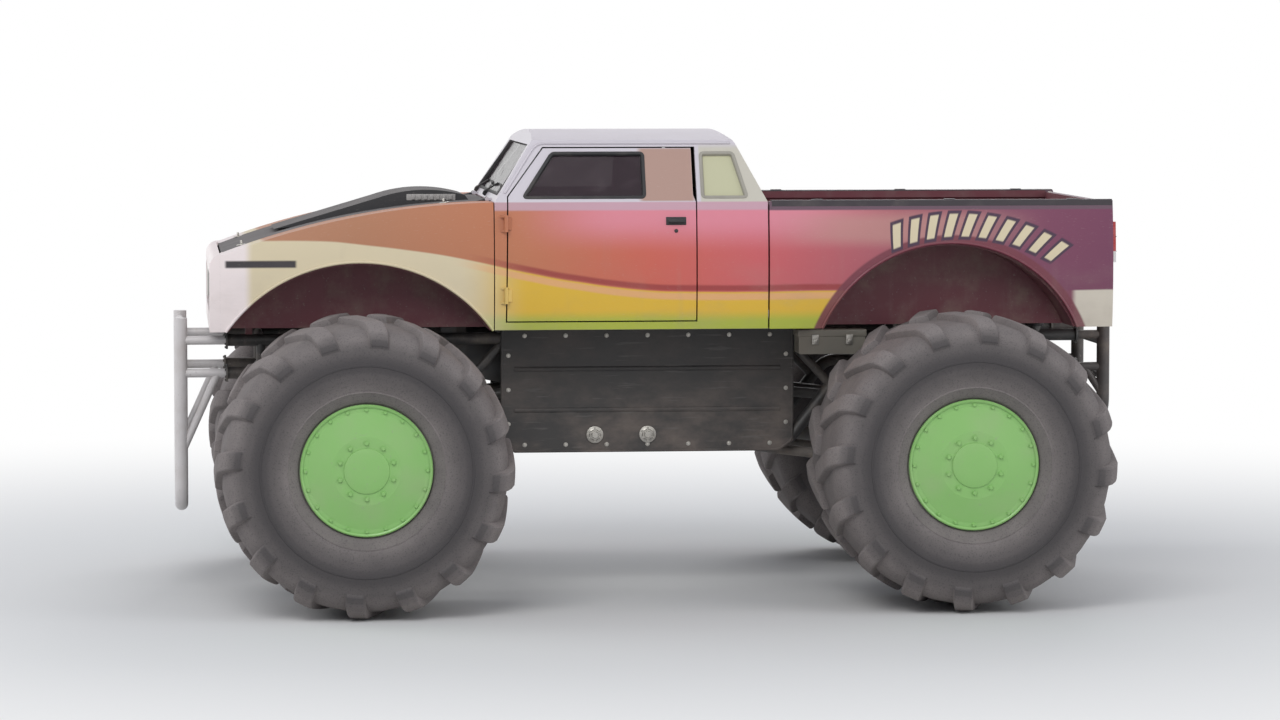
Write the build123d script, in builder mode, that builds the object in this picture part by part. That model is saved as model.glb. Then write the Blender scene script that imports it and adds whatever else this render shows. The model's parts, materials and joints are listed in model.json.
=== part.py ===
"""Monster truck: an extended-cab pickup body carried high on a welded tube frame.

Two solid steering axles on four-link suspension carry four giant terra tyres.
Millimetres. +X is forward, +Y is the truck's left, +Z is up. The origin is on the
ground, midway between the axles and between the tyres.
"""

import os
from math import cos, radians, sin

from build123d import *

# Overall sizes
wheelbase = 3400
front_reach = 1050  # front axle to the foremost tube of the front guard
rear_reach = 1050  # rear axle to the rearmost tube of the rear guard
track = 2540  # between tyre centres
axle_x = wheelbase / 2
running_gap = 0.3  # between pieces that seat on each other
shut_gap = 8  # round doors, hood and tailgate

# Tyres and wheels; axial places are from the wheel's centre plane, outwards positive
tyre_radius = 838
tyre_half_width = 546
carcass_radius = 796
bead_half_width = 442
tyre_facets = 28
lugs_per_side = 16
# one lug's outline on the tread: (across from the centre plane, along the tread)
lug_outline = [(14, 36), (14, 136), (540, -40), (540, -136)]
lug_root = 70  # how far a lug reaches into the carcass
rim_radius = 338
rim_half_width = 457
rim_wall = 12
flange_radius = 368
cover_crown = 22
hub_radius = 185
hub_inner_at = -90
spindle_radius = 70
spindle_tip_at = 60
spindle_gap = 0.3

# Axles, knuckles and steering; places are from the axle's centre
axle_tube_radius = 88
axle_tube_end = 725
diff_radius = 182
diff_half_width = 190
pinion_length = 330
pinion_radius = 74
kingpin_y = 860
kingpin_radius = 26
yoke_plate = 60
yoke_half_width = 62
yoke_gap = 94
knuckle_radius = 66
steering_arm = 250
arm_height = 40
arm_width = 70
tie_rod_radius = 22
tie_pin_radius = 14
ram_x = 238
ram_z = 130
ram_radius = 40
ram_half_length = 200
ram_centre_y = -160
ram_rod_radius = 16
ram_eye_y = 450
ram_eye_radius = 48
ram_eye_bore = 28
ram_pin_radius = 10

# Frame
frame_half_width = 380
rail_radius = 35
brace_radius = 26
belly_z = 850
belly_end = 820
chord_z = 1290
chord_start = 1160
upper_rail_z = 1480
skirt_thickness = 6
skirt_bottom_z = 812
skirt_top_z = 1540
skirt_half_length = 860
mount_pad_radius = 34

# Suspension links and shocks
front_pivot_x = 310
rear_pivot_x = 0
link_pivot_z = 915
link_frame_y = 290
link_axle_y = 320
link_radius = 30
link_eye_radius = 48
link_eye_length = 84
link_axle_drop = 145
pivot_radius = 24
pivot_cap_radius = 50
upper_pivot_x = 410
upper_pivot_z = 1190
upper_axle_y = 118
upper_axle_rise = 222
shock_radius = 44
shock_rod_radius = 20
shock_foot_y = 520
shock_foot_x = 112
shock_foot_z = 925
shock_head_y = 462
shock_head_x = 250
shock_head_z = 1600
shock_eye_radius = 30
shock_eye_length = 44
shock_pin_radius = 14

# Hinges
hinge_barrel_radius = 12
hinge_barrel_length = 70
hinge_pin_radius = 6
hinge_leaf = 10
hood_hinge_y = 560
door_hinge_heights = (1760, 2170)
door_hinge_stand = 14.5  # from the skin at its widest hinge to the axis
door_leaf = 30
gate_axis_in = 14
gate_pin_radius = 8
gate_boss_radius = 15
gate_axis_up = 24

# Drive line
engine_rear_x = 1050
engine_front_x = 1660
engine_half_width = 250
engine_bottom_z = 1250
engine_top_z = 2010
case_supports = (80, 225)
transfer_rear_x = -60
transfer_front_x = 350
transfer_half_width = 150
transfer_top_z = 1130
shaft_z = 985

# Guards, box and cab fittings
guard_radius = 38
strut_radius = 22
guard_half_width = 380
guard_bottom_z = 520
rear_guard_z = 1010
seat_y = 370
seat_half_width = 230
dash_side_gap = 115  # between the dashboard's ends and the belt
bar_radius = 19

# Body shell
sill_z = 1560
belt_z = 2290
roof_z = 2690
roof_crown = 50  # how much higher the roof is at its middle than at its edges
roof_edge_z = roof_z - roof_crown
body_half_width = 950  # at the widest height
body_mid_z = sill_z + 340  # the widest height
sill_tuck = 20
belt_tuck = 35
roof_tuck = 205
body_low_half = body_half_width - sill_tuck
belt_half = body_half_width - belt_tuck
roof_half = body_half_width - roof_tuck
front_arch_half = 760
rear_arch_half = 745
front_arch_top_z = sill_z + 395
rear_arch_top_z = sill_z + 490
nose_length = 90  # nose ahead of the front arch
tail_length = 205  # bedside behind the rear arch
nose_x = axle_x + front_arch_half + nose_length
tail_x = -axle_x - rear_arch_half - tail_length
cowl_x = axle_x - front_arch_half - 10
roof_front_x = cowl_x - 270
roof_rear_x = -400
cab_rear_x = -640
bed_front_x = cab_rear_x - 10
cab_wall = 40
panel = 18
wide = 1.5 * body_half_width  # depth of cuts that pass a whole side
door_front_x = cowl_x - cab_wall - 30
door_rear_x = -225
door_bottom_z = sill_z + cab_wall + 12
frame_relief = 14  # the window frame stands this much further from the rear pillar
roof_rail = 46  # roof edge left above the door
door_top_z = roof_edge_z - roof_rail
window_frame = 30
window_sill = 28
window_front_x = door_front_x - 100
window_rear_x = door_rear_x + 295
window_low_z = belt_z + window_sill
window_top_z = door_top_z - window_frame
quarter_front_x = door_rear_x - 43
quarter_rear_x = cab_rear_x + 120
screen_margin = 115  # pillar width left beside the windscreen and above it
screen_head = 25
screen_foot = 45
back_margin = 235
back_head = 50
back_foot = 55
glass_inset = 16
glass_thickness = 6
hood_nose_z = sill_z + 440
hood_hinge_x = cowl_x + 20
hood_hinge_z = belt_z + 8
hood_half_width = belt_half - 215
bulge_half_width = 330
bulge_top_z = belt_z + 55
core_x = nose_x - 250
grille_z = sill_z + 215
grille_half_width = 820
grille_height = 230
lamp_half_width = 90
lamp_height = 160
lamp_y = grille_half_width - 24 - lamp_half_width
bed_wall = 46
bed_rail = 62
bed_floor_z = sill_z + 160
bed_floor_thickness = 24
tub_inner_y = 560
tub_wall = 14
tub_clearance = 4  # between a wheelhouse and the arch's edge
gate_half = belt_half - bed_rail - shut_gap

# Frame stations along the truck
frame_end = 110  # the rails stop this far inside the nose and the tail
frame_front = nose_x - frame_end
frame_rear = -tail_x - frame_end
rear_station = -frame_rear + 240
front_station = frame_front - 190
bed_sill_x = bed_front_x - 250
pad_stations = [560, -560, bed_sill_x, rear_station]
end_stations = [rear_station, -axle_x, axle_x, front_station]
centre_stations = [-belly_end, -upper_pivot_x, 0, upper_pivot_x, belly_end]


def tube(start, end, radius):
    """A round bar from one point to the other, in the part being built."""
    run = Vector(*end) - Vector(*start)
    with BuildSketch(Plane(origin=start, z_dir=run)) as end_face:
        Circle(radius)
    extrude(end_face.sketch, amount=run.length)


def bent_tube(points, bend, radius):
    """A tube along straight runs joined by bends of one radius."""
    with BuildLine() as route:
        FilletPolyline(*points, radius=bend)
    path = route.wires()[0]
    with BuildSketch(Plane(origin=path @ 0, z_dir=path % 0)) as end_face:
        Circle(radius)
    sweep(end_face.sketch, path=path)


def hinge_fixed(at, along, leaf):
    """Fixed half of a small hinge: a pin along its axis between two ears with leaves."""
    along, leaf = Vector(*along), Vector(*leaf)
    half = hinge_barrel_length / 2 + running_gap
    tube(tuple(Vector(*at) - along * (half + 6)), tuple(Vector(*at) + along * (half + 6)), hinge_pin_radius)
    for end in (1, -1):
        root = Vector(*at) + along * end * (half + 6)
        plane = Plane(origin=root, x_dir=leaf, z_dir=along)
        with BuildSketch(plane) as ear:
            Circle(hinge_barrel_radius)
            with Locations((leaf.length / 2, 0)):
                Rectangle(leaf.length, hinge_leaf)
        extrude(ear.sketch, amount=6, both=True)


def hinge_moving(at, along, leaf):
    """Moving half of a small hinge: a barrel round the pin, with its leaf."""
    along, leaf = Vector(*along), Vector(*leaf)
    start = Vector(*at) - along * hinge_barrel_length / 2
    plane = Plane(origin=start, x_dir=leaf, z_dir=along)
    with BuildSketch(plane) as barrel:
        Circle(hinge_barrel_radius)
        with Locations((leaf.length / 2, 0)):
            Rectangle(leaf.length, hinge_leaf)
    extrude(barrel.sketch, amount=hinge_barrel_length)
    with BuildSketch(plane) as bore:
        Circle(hinge_pin_radius + running_gap)
    extrude(bore.sketch, amount=hinge_barrel_length, mode=Mode.SUBTRACT)


def write(part, name):
    """Labels a finished piece and writes it as its own file."""
    part.label = name
    export_step(part, f"parts/{name}.step")


def at_corner(part, front, left, turned=True):
    """A piece made for the left front corner, placed at any corner; one not turned keeps its direction."""
    if not left:
        part = mirror(part, about=Plane.XZ)
    if not front and turned:
        part = mirror(part, about=Plane.YZ)
    place = (axle_x if front else -axle_x, 0, tyre_radius)
    return part.moved(Location(place))


# Wheels and tyres


def facet_ring(profile, sides):
    """A ring with flat facets: the closed profile of (across, radius) points turned about +Y."""
    def corner(k, across, radius):
        turn = radians(360 * k / sides)
        return Vector(radius * sin(turn), track / 2 + across, radius * cos(turn))

    faces = []
    for (across_a, radius_a), (across_b, radius_b) in zip(profile, profile[1:] + profile[:1]):
        for k in range(sides):
            corners = (
                corner(k, across_a, radius_a),
                corner(k, across_b, radius_b),
                corner(k + 1, across_b, radius_b),
                corner(k + 1, across_a, radius_a),
            )
            faces.append(Face(Wire.make_polygon(corners)))
    return Solid(Shell(faces))


def make_lug(side):
    """One chevron lug at the top of the tyre, on its outer (+1) or inner (-1) half."""
    reach = max(abs(along) for across, along in lug_outline)
    top = (tyre_radius**2 - reach**2) ** 0.5
    with BuildPart() as lug:
        root = Plane(origin=(0, track / 2, carcass_radius - lug_root), x_dir=(1, 0, 0), z_dir=(0, 0, 1))
        with BuildSketch(root):
            Polygon(*[(along, side * across) for across, along in lug_outline], align=None)
        extrude(amount=top - carcass_radius + lug_root)
        with BuildSketch(Plane(origin=(-500, track / 2, 0), x_dir=(0, 1, 0), z_dir=(1, 0, 0))):
            Polygon((-530, 0), (-530, 725), (-440, top), (440, top), (530, 725), (530, 0), align=None)
        extrude(amount=1000, mode=Mode.INTERSECT)
    return lug.part


def make_tyre():
    """Tyre with its chevron lugs, about a wheel on +Y with its centre at (0, track / 2, 0)."""
    bead = (rim_radius + running_gap) / cos(radians(180 / tyre_facets))
    half = [
        (bead_half_width, flange_radius + 6),
        (tyre_half_width, 530),
        (tyre_half_width - 14, 700),
        (430, carcass_radius),
    ]
    profile = [(bead_half_width, bead)] + half
    profile += [(-across, radius) for across, radius in reversed(profile)]
    with BuildPart() as tyre:
        add(facet_ring(profile, tyre_facets))
        for side in (1, -1):
            lug = make_lug(side)
            start = 0 if side > 0 else 180 / lugs_per_side
            for k in range(lugs_per_side):
                add(lug.rotate(Axis.Y, start + 360 * k / lugs_per_side))
    return tyre.part


def make_wheel():
    """Rim with its outer cover and hub drum as one turning piece."""
    seat = bead_half_width + running_gap
    inner = rim_radius - rim_wall
    with BuildPart() as wheel:
        with BuildSketch(Plane(origin=(0, track / 2, 0), x_dir=(0, 1, 0), z_dir=(-1, 0, 0))):
            Polygon(
                (-rim_half_width, inner),
                (-rim_half_width, flange_radius),
                (-seat, flange_radius),
                (-seat, rim_radius),
                (seat, rim_radius),
                (seat, flange_radius),
                (rim_half_width, flange_radius),
                (rim_half_width, inner + 2),
                (rim_half_width + cover_crown, 190),
                (rim_half_width + cover_crown, 0),
                (spindle_tip_at + 60, 0),
                (spindle_tip_at + 60, spindle_radius + spindle_gap),
                (hub_inner_at, spindle_radius + spindle_gap),
                (hub_inner_at, hub_radius),
                (rim_half_width - 60, hub_radius),
                (rim_half_width - 60, inner),
                align=None,
            )
        revolve(axis=Axis((0, 0, 0), (0, 1, 0)))
    return wheel.part


# Axles and steering


def clevis(x, y, z, eye_length, pin_radius):
    """Two ears and a pin along Y for a link's eye, joined to an axle tube at z = 0."""
    for ear in (y - eye_length / 2 - running_gap - 14, y + eye_length / 2 + running_gap):
        with BuildSketch(Plane.XZ.offset(-ear)) as plate:
            with Locations((x, z)):
                Circle(2 * pin_radius)
            with Locations((x, z / 2)):
                Rectangle(4 * pin_radius, abs(z))
        extrude(plate.sketch, amount=-14)
    half = eye_length / 2 + 20
    tube((x, y - half, z), (x, y + half, z), pin_radius)


def stub_pin(x, y, z, side, pin_radius, eye_length):
    """A pin standing outwards from a plate through an eye centred on (x, y, z), with its cap."""
    start, end = y - side * (eye_length / 2 + 16), y + side * (eye_length / 2 + 1)
    tube((x, start, z), (x, end + side * 8, z), pin_radius)
    tube((x, end, z), (x, end + side * 8, z), 1.7 * pin_radius)


def make_knuckle():
    """Steering knuckle with its kingpins, spindle and steering arm, for the left front corner."""
    with BuildPart() as knuckle:
        with BuildSketch(Plane.XY.offset(-yoke_gap + 6)):
            with Locations((0, kingpin_y)):
                Circle(knuckle_radius)
        extrude(amount=2 * (yoke_gap - 6))
        with BuildSketch(Plane.XY.offset(-yoke_gap - yoke_plate)):
            with Locations((0, kingpin_y)):
                Circle(kingpin_radius)
        extrude(amount=2 * (yoke_gap + yoke_plate))
        tube((0, kingpin_y, 0), (0, track / 2 + spindle_tip_at, 0), spindle_radius)
        with BuildSketch(Plane.XY.offset(-arm_height / 2)):
            with Locations((steering_arm / 2, kingpin_y)):
                Rectangle(steering_arm, arm_width)
            with Locations((steering_arm, kingpin_y)):
                Circle(arm_width / 2)
        extrude(amount=arm_height)
        with BuildSketch(Plane.XY.offset(arm_height / 2)):
            with Locations((steering_arm, kingpin_y)):
                Circle(tie_pin_radius)
        extrude(amount=2 * tie_rod_radius + 14)
    return knuckle.part


def make_tie_rod():
    """Tie rod on top of both steering arms, with the upright pin that the ram pushes."""
    rod_z = arm_height / 2 + tie_rod_radius + 9
    with BuildPart() as rod:
        tube((steering_arm, -kingpin_y, rod_z), (steering_arm, kingpin_y, rod_z), tie_rod_radius)
        with BuildSketch(Plane.XY.offset(rod_z - tie_rod_radius - 3)):
            with Locations((steering_arm, kingpin_y), (steering_arm, -kingpin_y)):
                Circle(1.6 * tie_rod_radius)
        extrude(amount=2 * tie_rod_radius + 6)
        with BuildSketch(Plane.XY.offset(rod_z)):
            with Locations((steering_arm, ram_eye_y)):
                Circle(ram_pin_radius)
        extrude(amount=ram_z + 14 - rod_z)
        with BuildSketch(Plane.XY.offset(rod_z - tie_rod_radius - 4)):
            with Locations((steering_arm, kingpin_y), (steering_arm, -kingpin_y)):
                Circle(tie_pin_radius + running_gap)
        extrude(amount=2 * tie_rod_radius + 8, mode=Mode.SUBTRACT)
    return rod.part


def make_ram_cylinder():
    """Steering ram's cylinder, lying along the axle."""
    low, high = ram_centre_y - ram_half_length, ram_centre_y + ram_half_length
    with BuildPart() as cylinder:
        tube((ram_x, low, ram_z), (ram_x, high, ram_z), ram_radius)
        tube((ram_x, low - 1, ram_z), (ram_x, high + 1, ram_z), ram_rod_radius + running_gap)
        bore = Plane(origin=(ram_x, low - 2, ram_z), z_dir=(0, 1, 0))
        with BuildSketch(bore):
            Circle(ram_rod_radius + running_gap)
        extrude(amount=2 * ram_half_length + 4, mode=Mode.SUBTRACT)
    return cylinder.part


def make_ram_rod():
    """Steering ram's rod, with the eye that stands round the tie rod's pin."""
    low = ram_centre_y - ram_half_length - 60
    with BuildPart() as rod:
        tube((ram_x, low, ram_z), (ram_x, ram_eye_y - ram_eye_bore - 6, ram_z), ram_rod_radius)
        with BuildSketch(Plane.XY.offset(ram_z - 12)):
            with Locations((ram_x, ram_eye_y)):
                Circle(ram_eye_radius)
                Circle(ram_eye_bore, mode=Mode.SUBTRACT)
        extrude(amount=24)
    return rod.part


def make_axle():
    """Front axle housing: banjo, tubes, kingpin yokes and brackets, about the origin."""
    with BuildPart() as axle:
        tube((0, -axle_tube_end, 0), (0, axle_tube_end, 0), axle_tube_radius)
        with BuildSketch(Plane.XY):
            with BuildLine():
                ThreePointArc((0, -diff_half_width - 60), (diff_radius, 0), (0, diff_half_width + 60))
                Line((0, diff_half_width + 60), (0, -diff_half_width - 60))
            make_face()
        revolve(axis=Axis.Y)
        tube((0, 0, 0), (-pinion_length, 0, 0), pinion_radius)
        for side in (1, -1):
            y = side * kingpin_y
            with BuildSketch(Plane.XY.offset(-yoke_gap - yoke_plate)):
                with Locations((0, side * (kingpin_y + axle_tube_end - 40) / 2)):
                    Rectangle(2 * yoke_half_width, kingpin_y - axle_tube_end + 40)
                with Locations((0, y)):
                    Circle(yoke_half_width)
            extrude(amount=2 * (yoke_gap + yoke_plate))
            with BuildSketch(Plane.XY.offset(-yoke_gap)):
                with Locations((0, y + side * 40)):
                    Rectangle(400, 2 * knuckle_radius + 16 + 80)
            extrude(amount=2 * yoke_gap, mode=Mode.SUBTRACT)
            with BuildSketch(Plane.XY.offset(-yoke_gap - yoke_plate - 1)):
                with Locations((0, y)):
                    Circle(kingpin_radius + running_gap)
            extrude(amount=2 * (yoke_gap + yoke_plate + 1), mode=Mode.SUBTRACT)
            clevis(0, side * link_axle_y, -link_axle_drop, link_eye_length, pivot_radius)
            clevis(0, side * upper_axle_y, upper_axle_rise, link_eye_length, pivot_radius)
            for x in (shock_foot_x, -shock_foot_x):
                foot = (x, side * shock_foot_y, shock_foot_z - tyre_radius)
                stub_pin(*foot, side, shock_pin_radius, shock_eye_length)
            with BuildSketch(Plane.XZ.offset(-side * (shock_foot_y - shock_eye_length / 2 - 8))):
                Polygon(
                    (-shock_foot_x - 40, shock_foot_z - tyre_radius + 34),
                    (shock_foot_x + 40, shock_foot_z - tyre_radius + 34),
                    (70, -60),
                    (-70, -60),
                    align=None,
                )
            extrude(amount=side * 16)
        for y in (ram_centre_y - 120, ram_centre_y + 120):
            with BuildSketch(Plane.XZ.offset(-y)):
                Polygon((30, 50), (80, 88), (215, 88), (215, 172), (120, 172), (20, 96), align=None)
                with Locations((ram_x, ram_z)):
                    Circle(ram_radius + running_gap, mode=Mode.SUBTRACT)
            extrude(amount=30)
    return axle.part


# Frame


frame_pivots = [
    (front_pivot_x, link_pivot_z),
    (rear_pivot_x, link_pivot_z),
    (upper_pivot_x, upper_pivot_z),
    (-upper_pivot_x, upper_pivot_z),
]


def rail_points(sign, y):
    """Lower chord of a side truss towards one end: belly, rise, level over the axle."""
    end = frame_front if sign > 0 else frame_rear
    return [
        (0, y, belly_z),
        (sign * belly_end, y, belly_z),
        (sign * chord_start, y, chord_z),
        (sign * end, y, chord_z),
    ]


def frame_pivot(x, z, side):
    """Bracket plate inside a side truss with the pin for a suspension link's eye."""
    face = side * (link_frame_y + link_eye_length / 2 + running_gap)
    with BuildSketch(Plane.XZ.offset(-face)) as plate:
        with Locations((x, z)):
            Circle(2 * pivot_radius)
            Rectangle(4 * pivot_radius, 4 * pivot_radius)
    extrude(plate.sketch, amount=-side * (frame_half_width - abs(face)))
    tip = side * (link_frame_y - link_eye_length / 2 - running_gap - 8)
    tube((x, face, z), (x, tip, z), pivot_radius)
    tube((x, tip + side * 8, z), (x, tip, z), pivot_cap_radius)


def shock_tower(x, side):
    """Plate standing on the upper rail with the pin for a shock's upper eye."""
    face = side * (shock_head_y - shock_eye_length / 2 - running_gap)
    with BuildSketch(Plane.XZ.offset(-face)) as plate:
        Polygon(
            (x - 60, upper_rail_z),
            (x - 34, shock_head_z + 34),
            (x + 34, shock_head_z + 34),
            (x + 60, upper_rail_z),
            align=None,
        )
    extrude(plate.sketch, amount=side * 40)
    stub_pin(x, side * shock_head_y, shock_head_z, side, shock_pin_radius, shock_eye_length)


def make_side_truss():
    """Left side of the frame: chord tubes, uprights, braces, brackets and shock towers."""
    y = frame_half_width
    uprights = [(x, chord_z) for x in end_stations]
    uprights += [(x, belly_z) for x in centre_stations]
    with BuildPart() as truss:
        for end in (1, -1):
            bent_tube(rail_points(end, y), 150, rail_radius)
            lean = (end * belly_end, y, upper_rail_z), (end * (belly_end + 250), y, chord_z - 80)
            tube(*lean, brace_radius)
            for reach in (shock_head_x, -shock_head_x):
                shock_tower(end * axle_x + reach, 1)
        tube((-frame_rear, y, upper_rail_z), (frame_front, y, upper_rail_z), rail_radius)
        for x, low in uprights:
            tube((x, y, low), (x, y, upper_rail_z), brace_radius)
        for x in pad_stations:
            tube((x, y, upper_rail_z), (x, y, sill_z - running_gap), mount_pad_radius)
        for x, z in frame_pivots:
            frame_pivot(x, z, 1)
    return truss.part


def make_crossmembers():
    """Cross tubes that run from one side truss to the other."""
    reach = frame_half_width - rail_radius - running_gap
    tubes = [(x, upper_rail_z) for x in end_stations + centre_stations]
    tubes += [(x, chord_z) for x in end_stations]
    tubes += [(x, belly_z) for x in case_supports]
    with BuildPart() as members:
        for x, z in tubes:
            tube((x, -reach, z), (x, reach, z), brace_radius)
    return members.part


def make_skirts():
    """Black sheet panels over the outside of the centre trusses."""
    inner = frame_half_width + rail_radius + running_gap
    with BuildPart() as skirts:
        with BuildSketch(Plane.XZ.offset(-inner)):
            with BuildLine():
                Polyline(
                    (-skirt_half_length, skirt_bottom_z + 60),
                    (-skirt_half_length, skirt_top_z),
                    (skirt_half_length, skirt_top_z),
                    (skirt_half_length, skirt_bottom_z + 60),
                    (skirt_half_length - 80, skirt_bottom_z),
                    (-skirt_half_length + 80, skirt_bottom_z),
                    close=True,
                )
            make_face()
        extrude(amount=-skirt_thickness)
        mirror(about=Plane.XZ)
    return skirts.part


def link_bar(start, end):
    """A suspension link with an eye at each end, both bored along Y."""
    tube(start, end, link_radius)
    for x, y, z in (start, end):
        tube((x, y - link_eye_length / 2, z), (x, y + link_eye_length / 2, z), link_eye_radius)


def make_links():
    """The eight links that locate both axles."""
    lower_z, upper_z = tyre_radius - link_axle_drop, tyre_radius + upper_axle_rise
    links = []
    for side in (1, -1):
        for end, lower_x in ((1, front_pivot_x), (-1, rear_pivot_x)):
            links.append(
                ((lower_x, side * link_frame_y, link_pivot_z), (end * axle_x, side * link_axle_y, lower_z))
            )
            links.append(
                (
                    (end * upper_pivot_x, side * link_frame_y, upper_pivot_z),
                    (end * axle_x, side * upper_axle_y, upper_z),
                )
            )
    with BuildPart() as bars:
        for start, end in links:
            link_bar(start, end)
        for start, end in links:
            for x, y, z in (start, end):
                bore = Plane(origin=(x, y - link_eye_length, z), z_dir=(0, 1, 0))
                with BuildSketch(bore):
                    Circle(pivot_radius + running_gap)
                extrude(amount=2 * link_eye_length, mode=Mode.SUBTRACT)
                cheek = link_eye_length / 2
                for face in (y + cheek, y - cheek - 60):
                    with BuildSketch(Plane(origin=(x, face, z), z_dir=(0, 1, 0))):
                        Circle(link_eye_radius + 12)
                    extrude(amount=60, mode=Mode.SUBTRACT)
    return bars.part


def make_shocks():
    """The eight coil-less shocks, each with its body and rod."""
    with BuildPart() as shocks:
        for end in (1, -1):
            for side in (1, -1):
                for lean in (1, -1):
                    foot = (end * axle_x + lean * shock_foot_x, side * shock_foot_y, shock_foot_z)
                    head = (end * axle_x + lean * shock_head_x, side * shock_head_y, shock_head_z)
                    run = Vector(*head) - Vector(*foot)
                    low = Vector(*foot) + run.normalized() * 84
                    tube(foot, head, shock_rod_radius)
                    tube(tuple(low), tuple(low + run * 0.52), shock_radius)
                    for x, y, z in (foot, head):
                        half = shock_eye_length / 2
                        tube((x, y - half, z), (x, y + half, z), shock_eye_radius)
        for end in (1, -1):
            for side in (1, -1):
                for lean in (1, -1):
                    for reach, y, z in (
                        (shock_foot_x, shock_foot_y, shock_foot_z),
                        (shock_head_x, shock_head_y, shock_head_z),
                    ):
                        x = end * axle_x + lean * reach
                        start = side * y - shock_eye_length / 2
                        with BuildSketch(Plane(origin=(x, start, z), z_dir=(0, 1, 0))):
                            Circle(shock_pin_radius + running_gap)
                        extrude(amount=shock_eye_length, mode=Mode.SUBTRACT)
                        for face in (start - 30, start + shock_eye_length):
                            with BuildSketch(Plane(origin=(x, face, z), z_dir=(0, 1, 0))):
                                Circle(shock_eye_radius + 4)
                            extrude(amount=30, mode=Mode.SUBTRACT)
    return shocks.part


# Drive line


def make_engine():
    """Engine as one plain block with its mounting feet on the upper rails."""
    with BuildPart() as engine:
        with BuildSketch(Plane.XY.offset(engine_bottom_z)):
            with Locations(((engine_rear_x + engine_front_x) / 2, 0)):
                Rectangle(engine_front_x - engine_rear_x, 2 * engine_half_width)
        extrude(amount=engine_top_z - engine_bottom_z)
        with BuildSketch(Plane.XY.offset(upper_rail_z + rail_radius + running_gap)):
            with Locations((engine_rear_x + 110, 0), (engine_front_x - 110, 0)):
                Rectangle(90, 2 * frame_half_width)
        extrude(amount=30)
    return engine.part


def make_gearbox():
    """Gearbox behind the engine, as a plain housing down to the transfer case."""
    with BuildPart() as gearbox:
        with BuildSketch(Plane.YZ.offset(transfer_front_x + running_gap)):
            with Locations((0, 1270)):
                Rectangle(280, 340)
        with BuildSketch(Plane.YZ.offset(engine_rear_x - running_gap)):
            with Locations((0, 1350)):
                Rectangle(400, 200)
        loft()
    return gearbox.part


def make_transfer_case():
    """Transfer case on the belly cross tubes, with its two output flanges."""
    bottom = belly_z + brace_radius + running_gap
    with BuildPart() as case:
        with BuildSketch(Plane.XY.offset(bottom)):
            with Locations(((transfer_rear_x + transfer_front_x) / 2, 0)):
                Rectangle(transfer_front_x - transfer_rear_x, 2 * transfer_half_width)
        extrude(amount=transfer_top_z - bottom)
        tube((transfer_rear_x - 40, 0, shaft_z), (transfer_front_x + 40, 0, shaft_z), 62)
    return case.part


def make_driveshafts():
    """Both driveshafts with their joint yokes."""
    with BuildPart() as shafts:
        for start_x, end in ((transfer_front_x + 40, 1), (transfer_rear_x - 40, -1)):
            first = (start_x + end * running_gap, 0, shaft_z)
            last = (end * (axle_x - pinion_length - running_gap), 0, tyre_radius)
            first_knee = (first[0] + end * 70, 0, shaft_z)
            last_knee = (last[0] - end * 70, 0, tyre_radius)
            tube(first, first_knee, 56)
            tube(last, last_knee, 56)
            tube(first_knee, last_knee, 42)
    return shafts.part


# Guards and loose equipment


def make_front_guard():
    """White tube hoop ahead of the front axle, carried on the frame's front ends."""
    x, y = axle_x + front_reach - guard_radius, guard_half_width
    root = frame_front + running_gap
    hoop = [(x, y, sill_z + 50), (x, y, guard_bottom_z), (x, -y, guard_bottom_z), (x, -y, sill_z + 50)]
    with BuildPart() as guard:
        bent_tube(hoop, 120, guard_radius)
        for z in (860, 1140, sill_z):
            tube((x, -y, z), (x, y, z), brace_radius)
        for side in (y, -y):
            tube((root, side, upper_rail_z), (x, side, upper_rail_z), brace_radius)
            tube((root, side, chord_z), (x, side, chord_z), brace_radius)
            tube((x, side, guard_bottom_z + 300), (root + 60, side, chord_z), strut_radius)
    return guard.part


def make_rear_guard():
    """Dark tube hoop hanging from the frame's rear ends."""
    x, y = -axle_x - rear_reach + guard_radius, guard_half_width
    root = -frame_rear - running_gap
    top = upper_rail_z + 50
    hoop = [(x, y, top), (x, y, rear_guard_z), (x, -y, rear_guard_z), (x, -y, top)]
    with BuildPart() as guard:
        bent_tube(hoop, 100, guard_radius)
        for z in (1240, upper_rail_z - 40):
            tube((x, -y, z), (x, y, z), brace_radius)
        for side in (y, -y):
            tube((root, side, upper_rail_z), (x, side, upper_rail_z), brace_radius)
            tube((root, side, chord_z), (x, side, chord_z), brace_radius)
            tube((x, side, rear_guard_z + 110), (root - 60, side, chord_z), strut_radius)
    return guard.part


def make_battery_box():
    """Equipment box on the left upper rail behind the cab."""
    with BuildPart() as box:
        with BuildSketch(Plane.XZ.offset(-frame_half_width - rail_radius - running_gap)):
            with Locations((-1060, upper_rail_z - 20)):
                Rectangle(390, 140)
        extrude(amount=-200)
        fillet(box.edges().filter_by(Axis.Y), radius=12)
    return box.part


def make_seats():
    """Two seats on the cab floor."""
    floor = sill_z + cab_wall + running_gap
    with BuildPart() as seats:
        for y in (seat_y, -seat_y):
            with BuildSketch(Plane.XZ.offset(-y + seat_half_width)):
                Polygon(
                    (-60, floor),
                    (420, floor),
                    (440, floor + 250),
                    (60, floor + 210),
                    (-120, floor + 840),
                    (-230, floor + 830),
                    (-80, floor + 160),
                    align=None,
                )
            extrude(amount=-2 * seat_half_width)
    return seats.part


def make_dash():
    """Dashboard across the cab with the steering column."""
    with BuildPart() as dash:
        half = belt_half - dash_side_gap
        with BuildSketch(Plane.XZ.offset(-half)):
            Polygon(
                (cowl_x - cab_wall - running_gap, 1960),
                (cowl_x - cab_wall - running_gap, 2250),
                (700, 2230),
                (660, 2040),
                align=None,
            )
        extrude(amount=2 * half)
        tube((690, seat_y, 2110), (520, seat_y, 2170), 24)
    return dash.part


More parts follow.
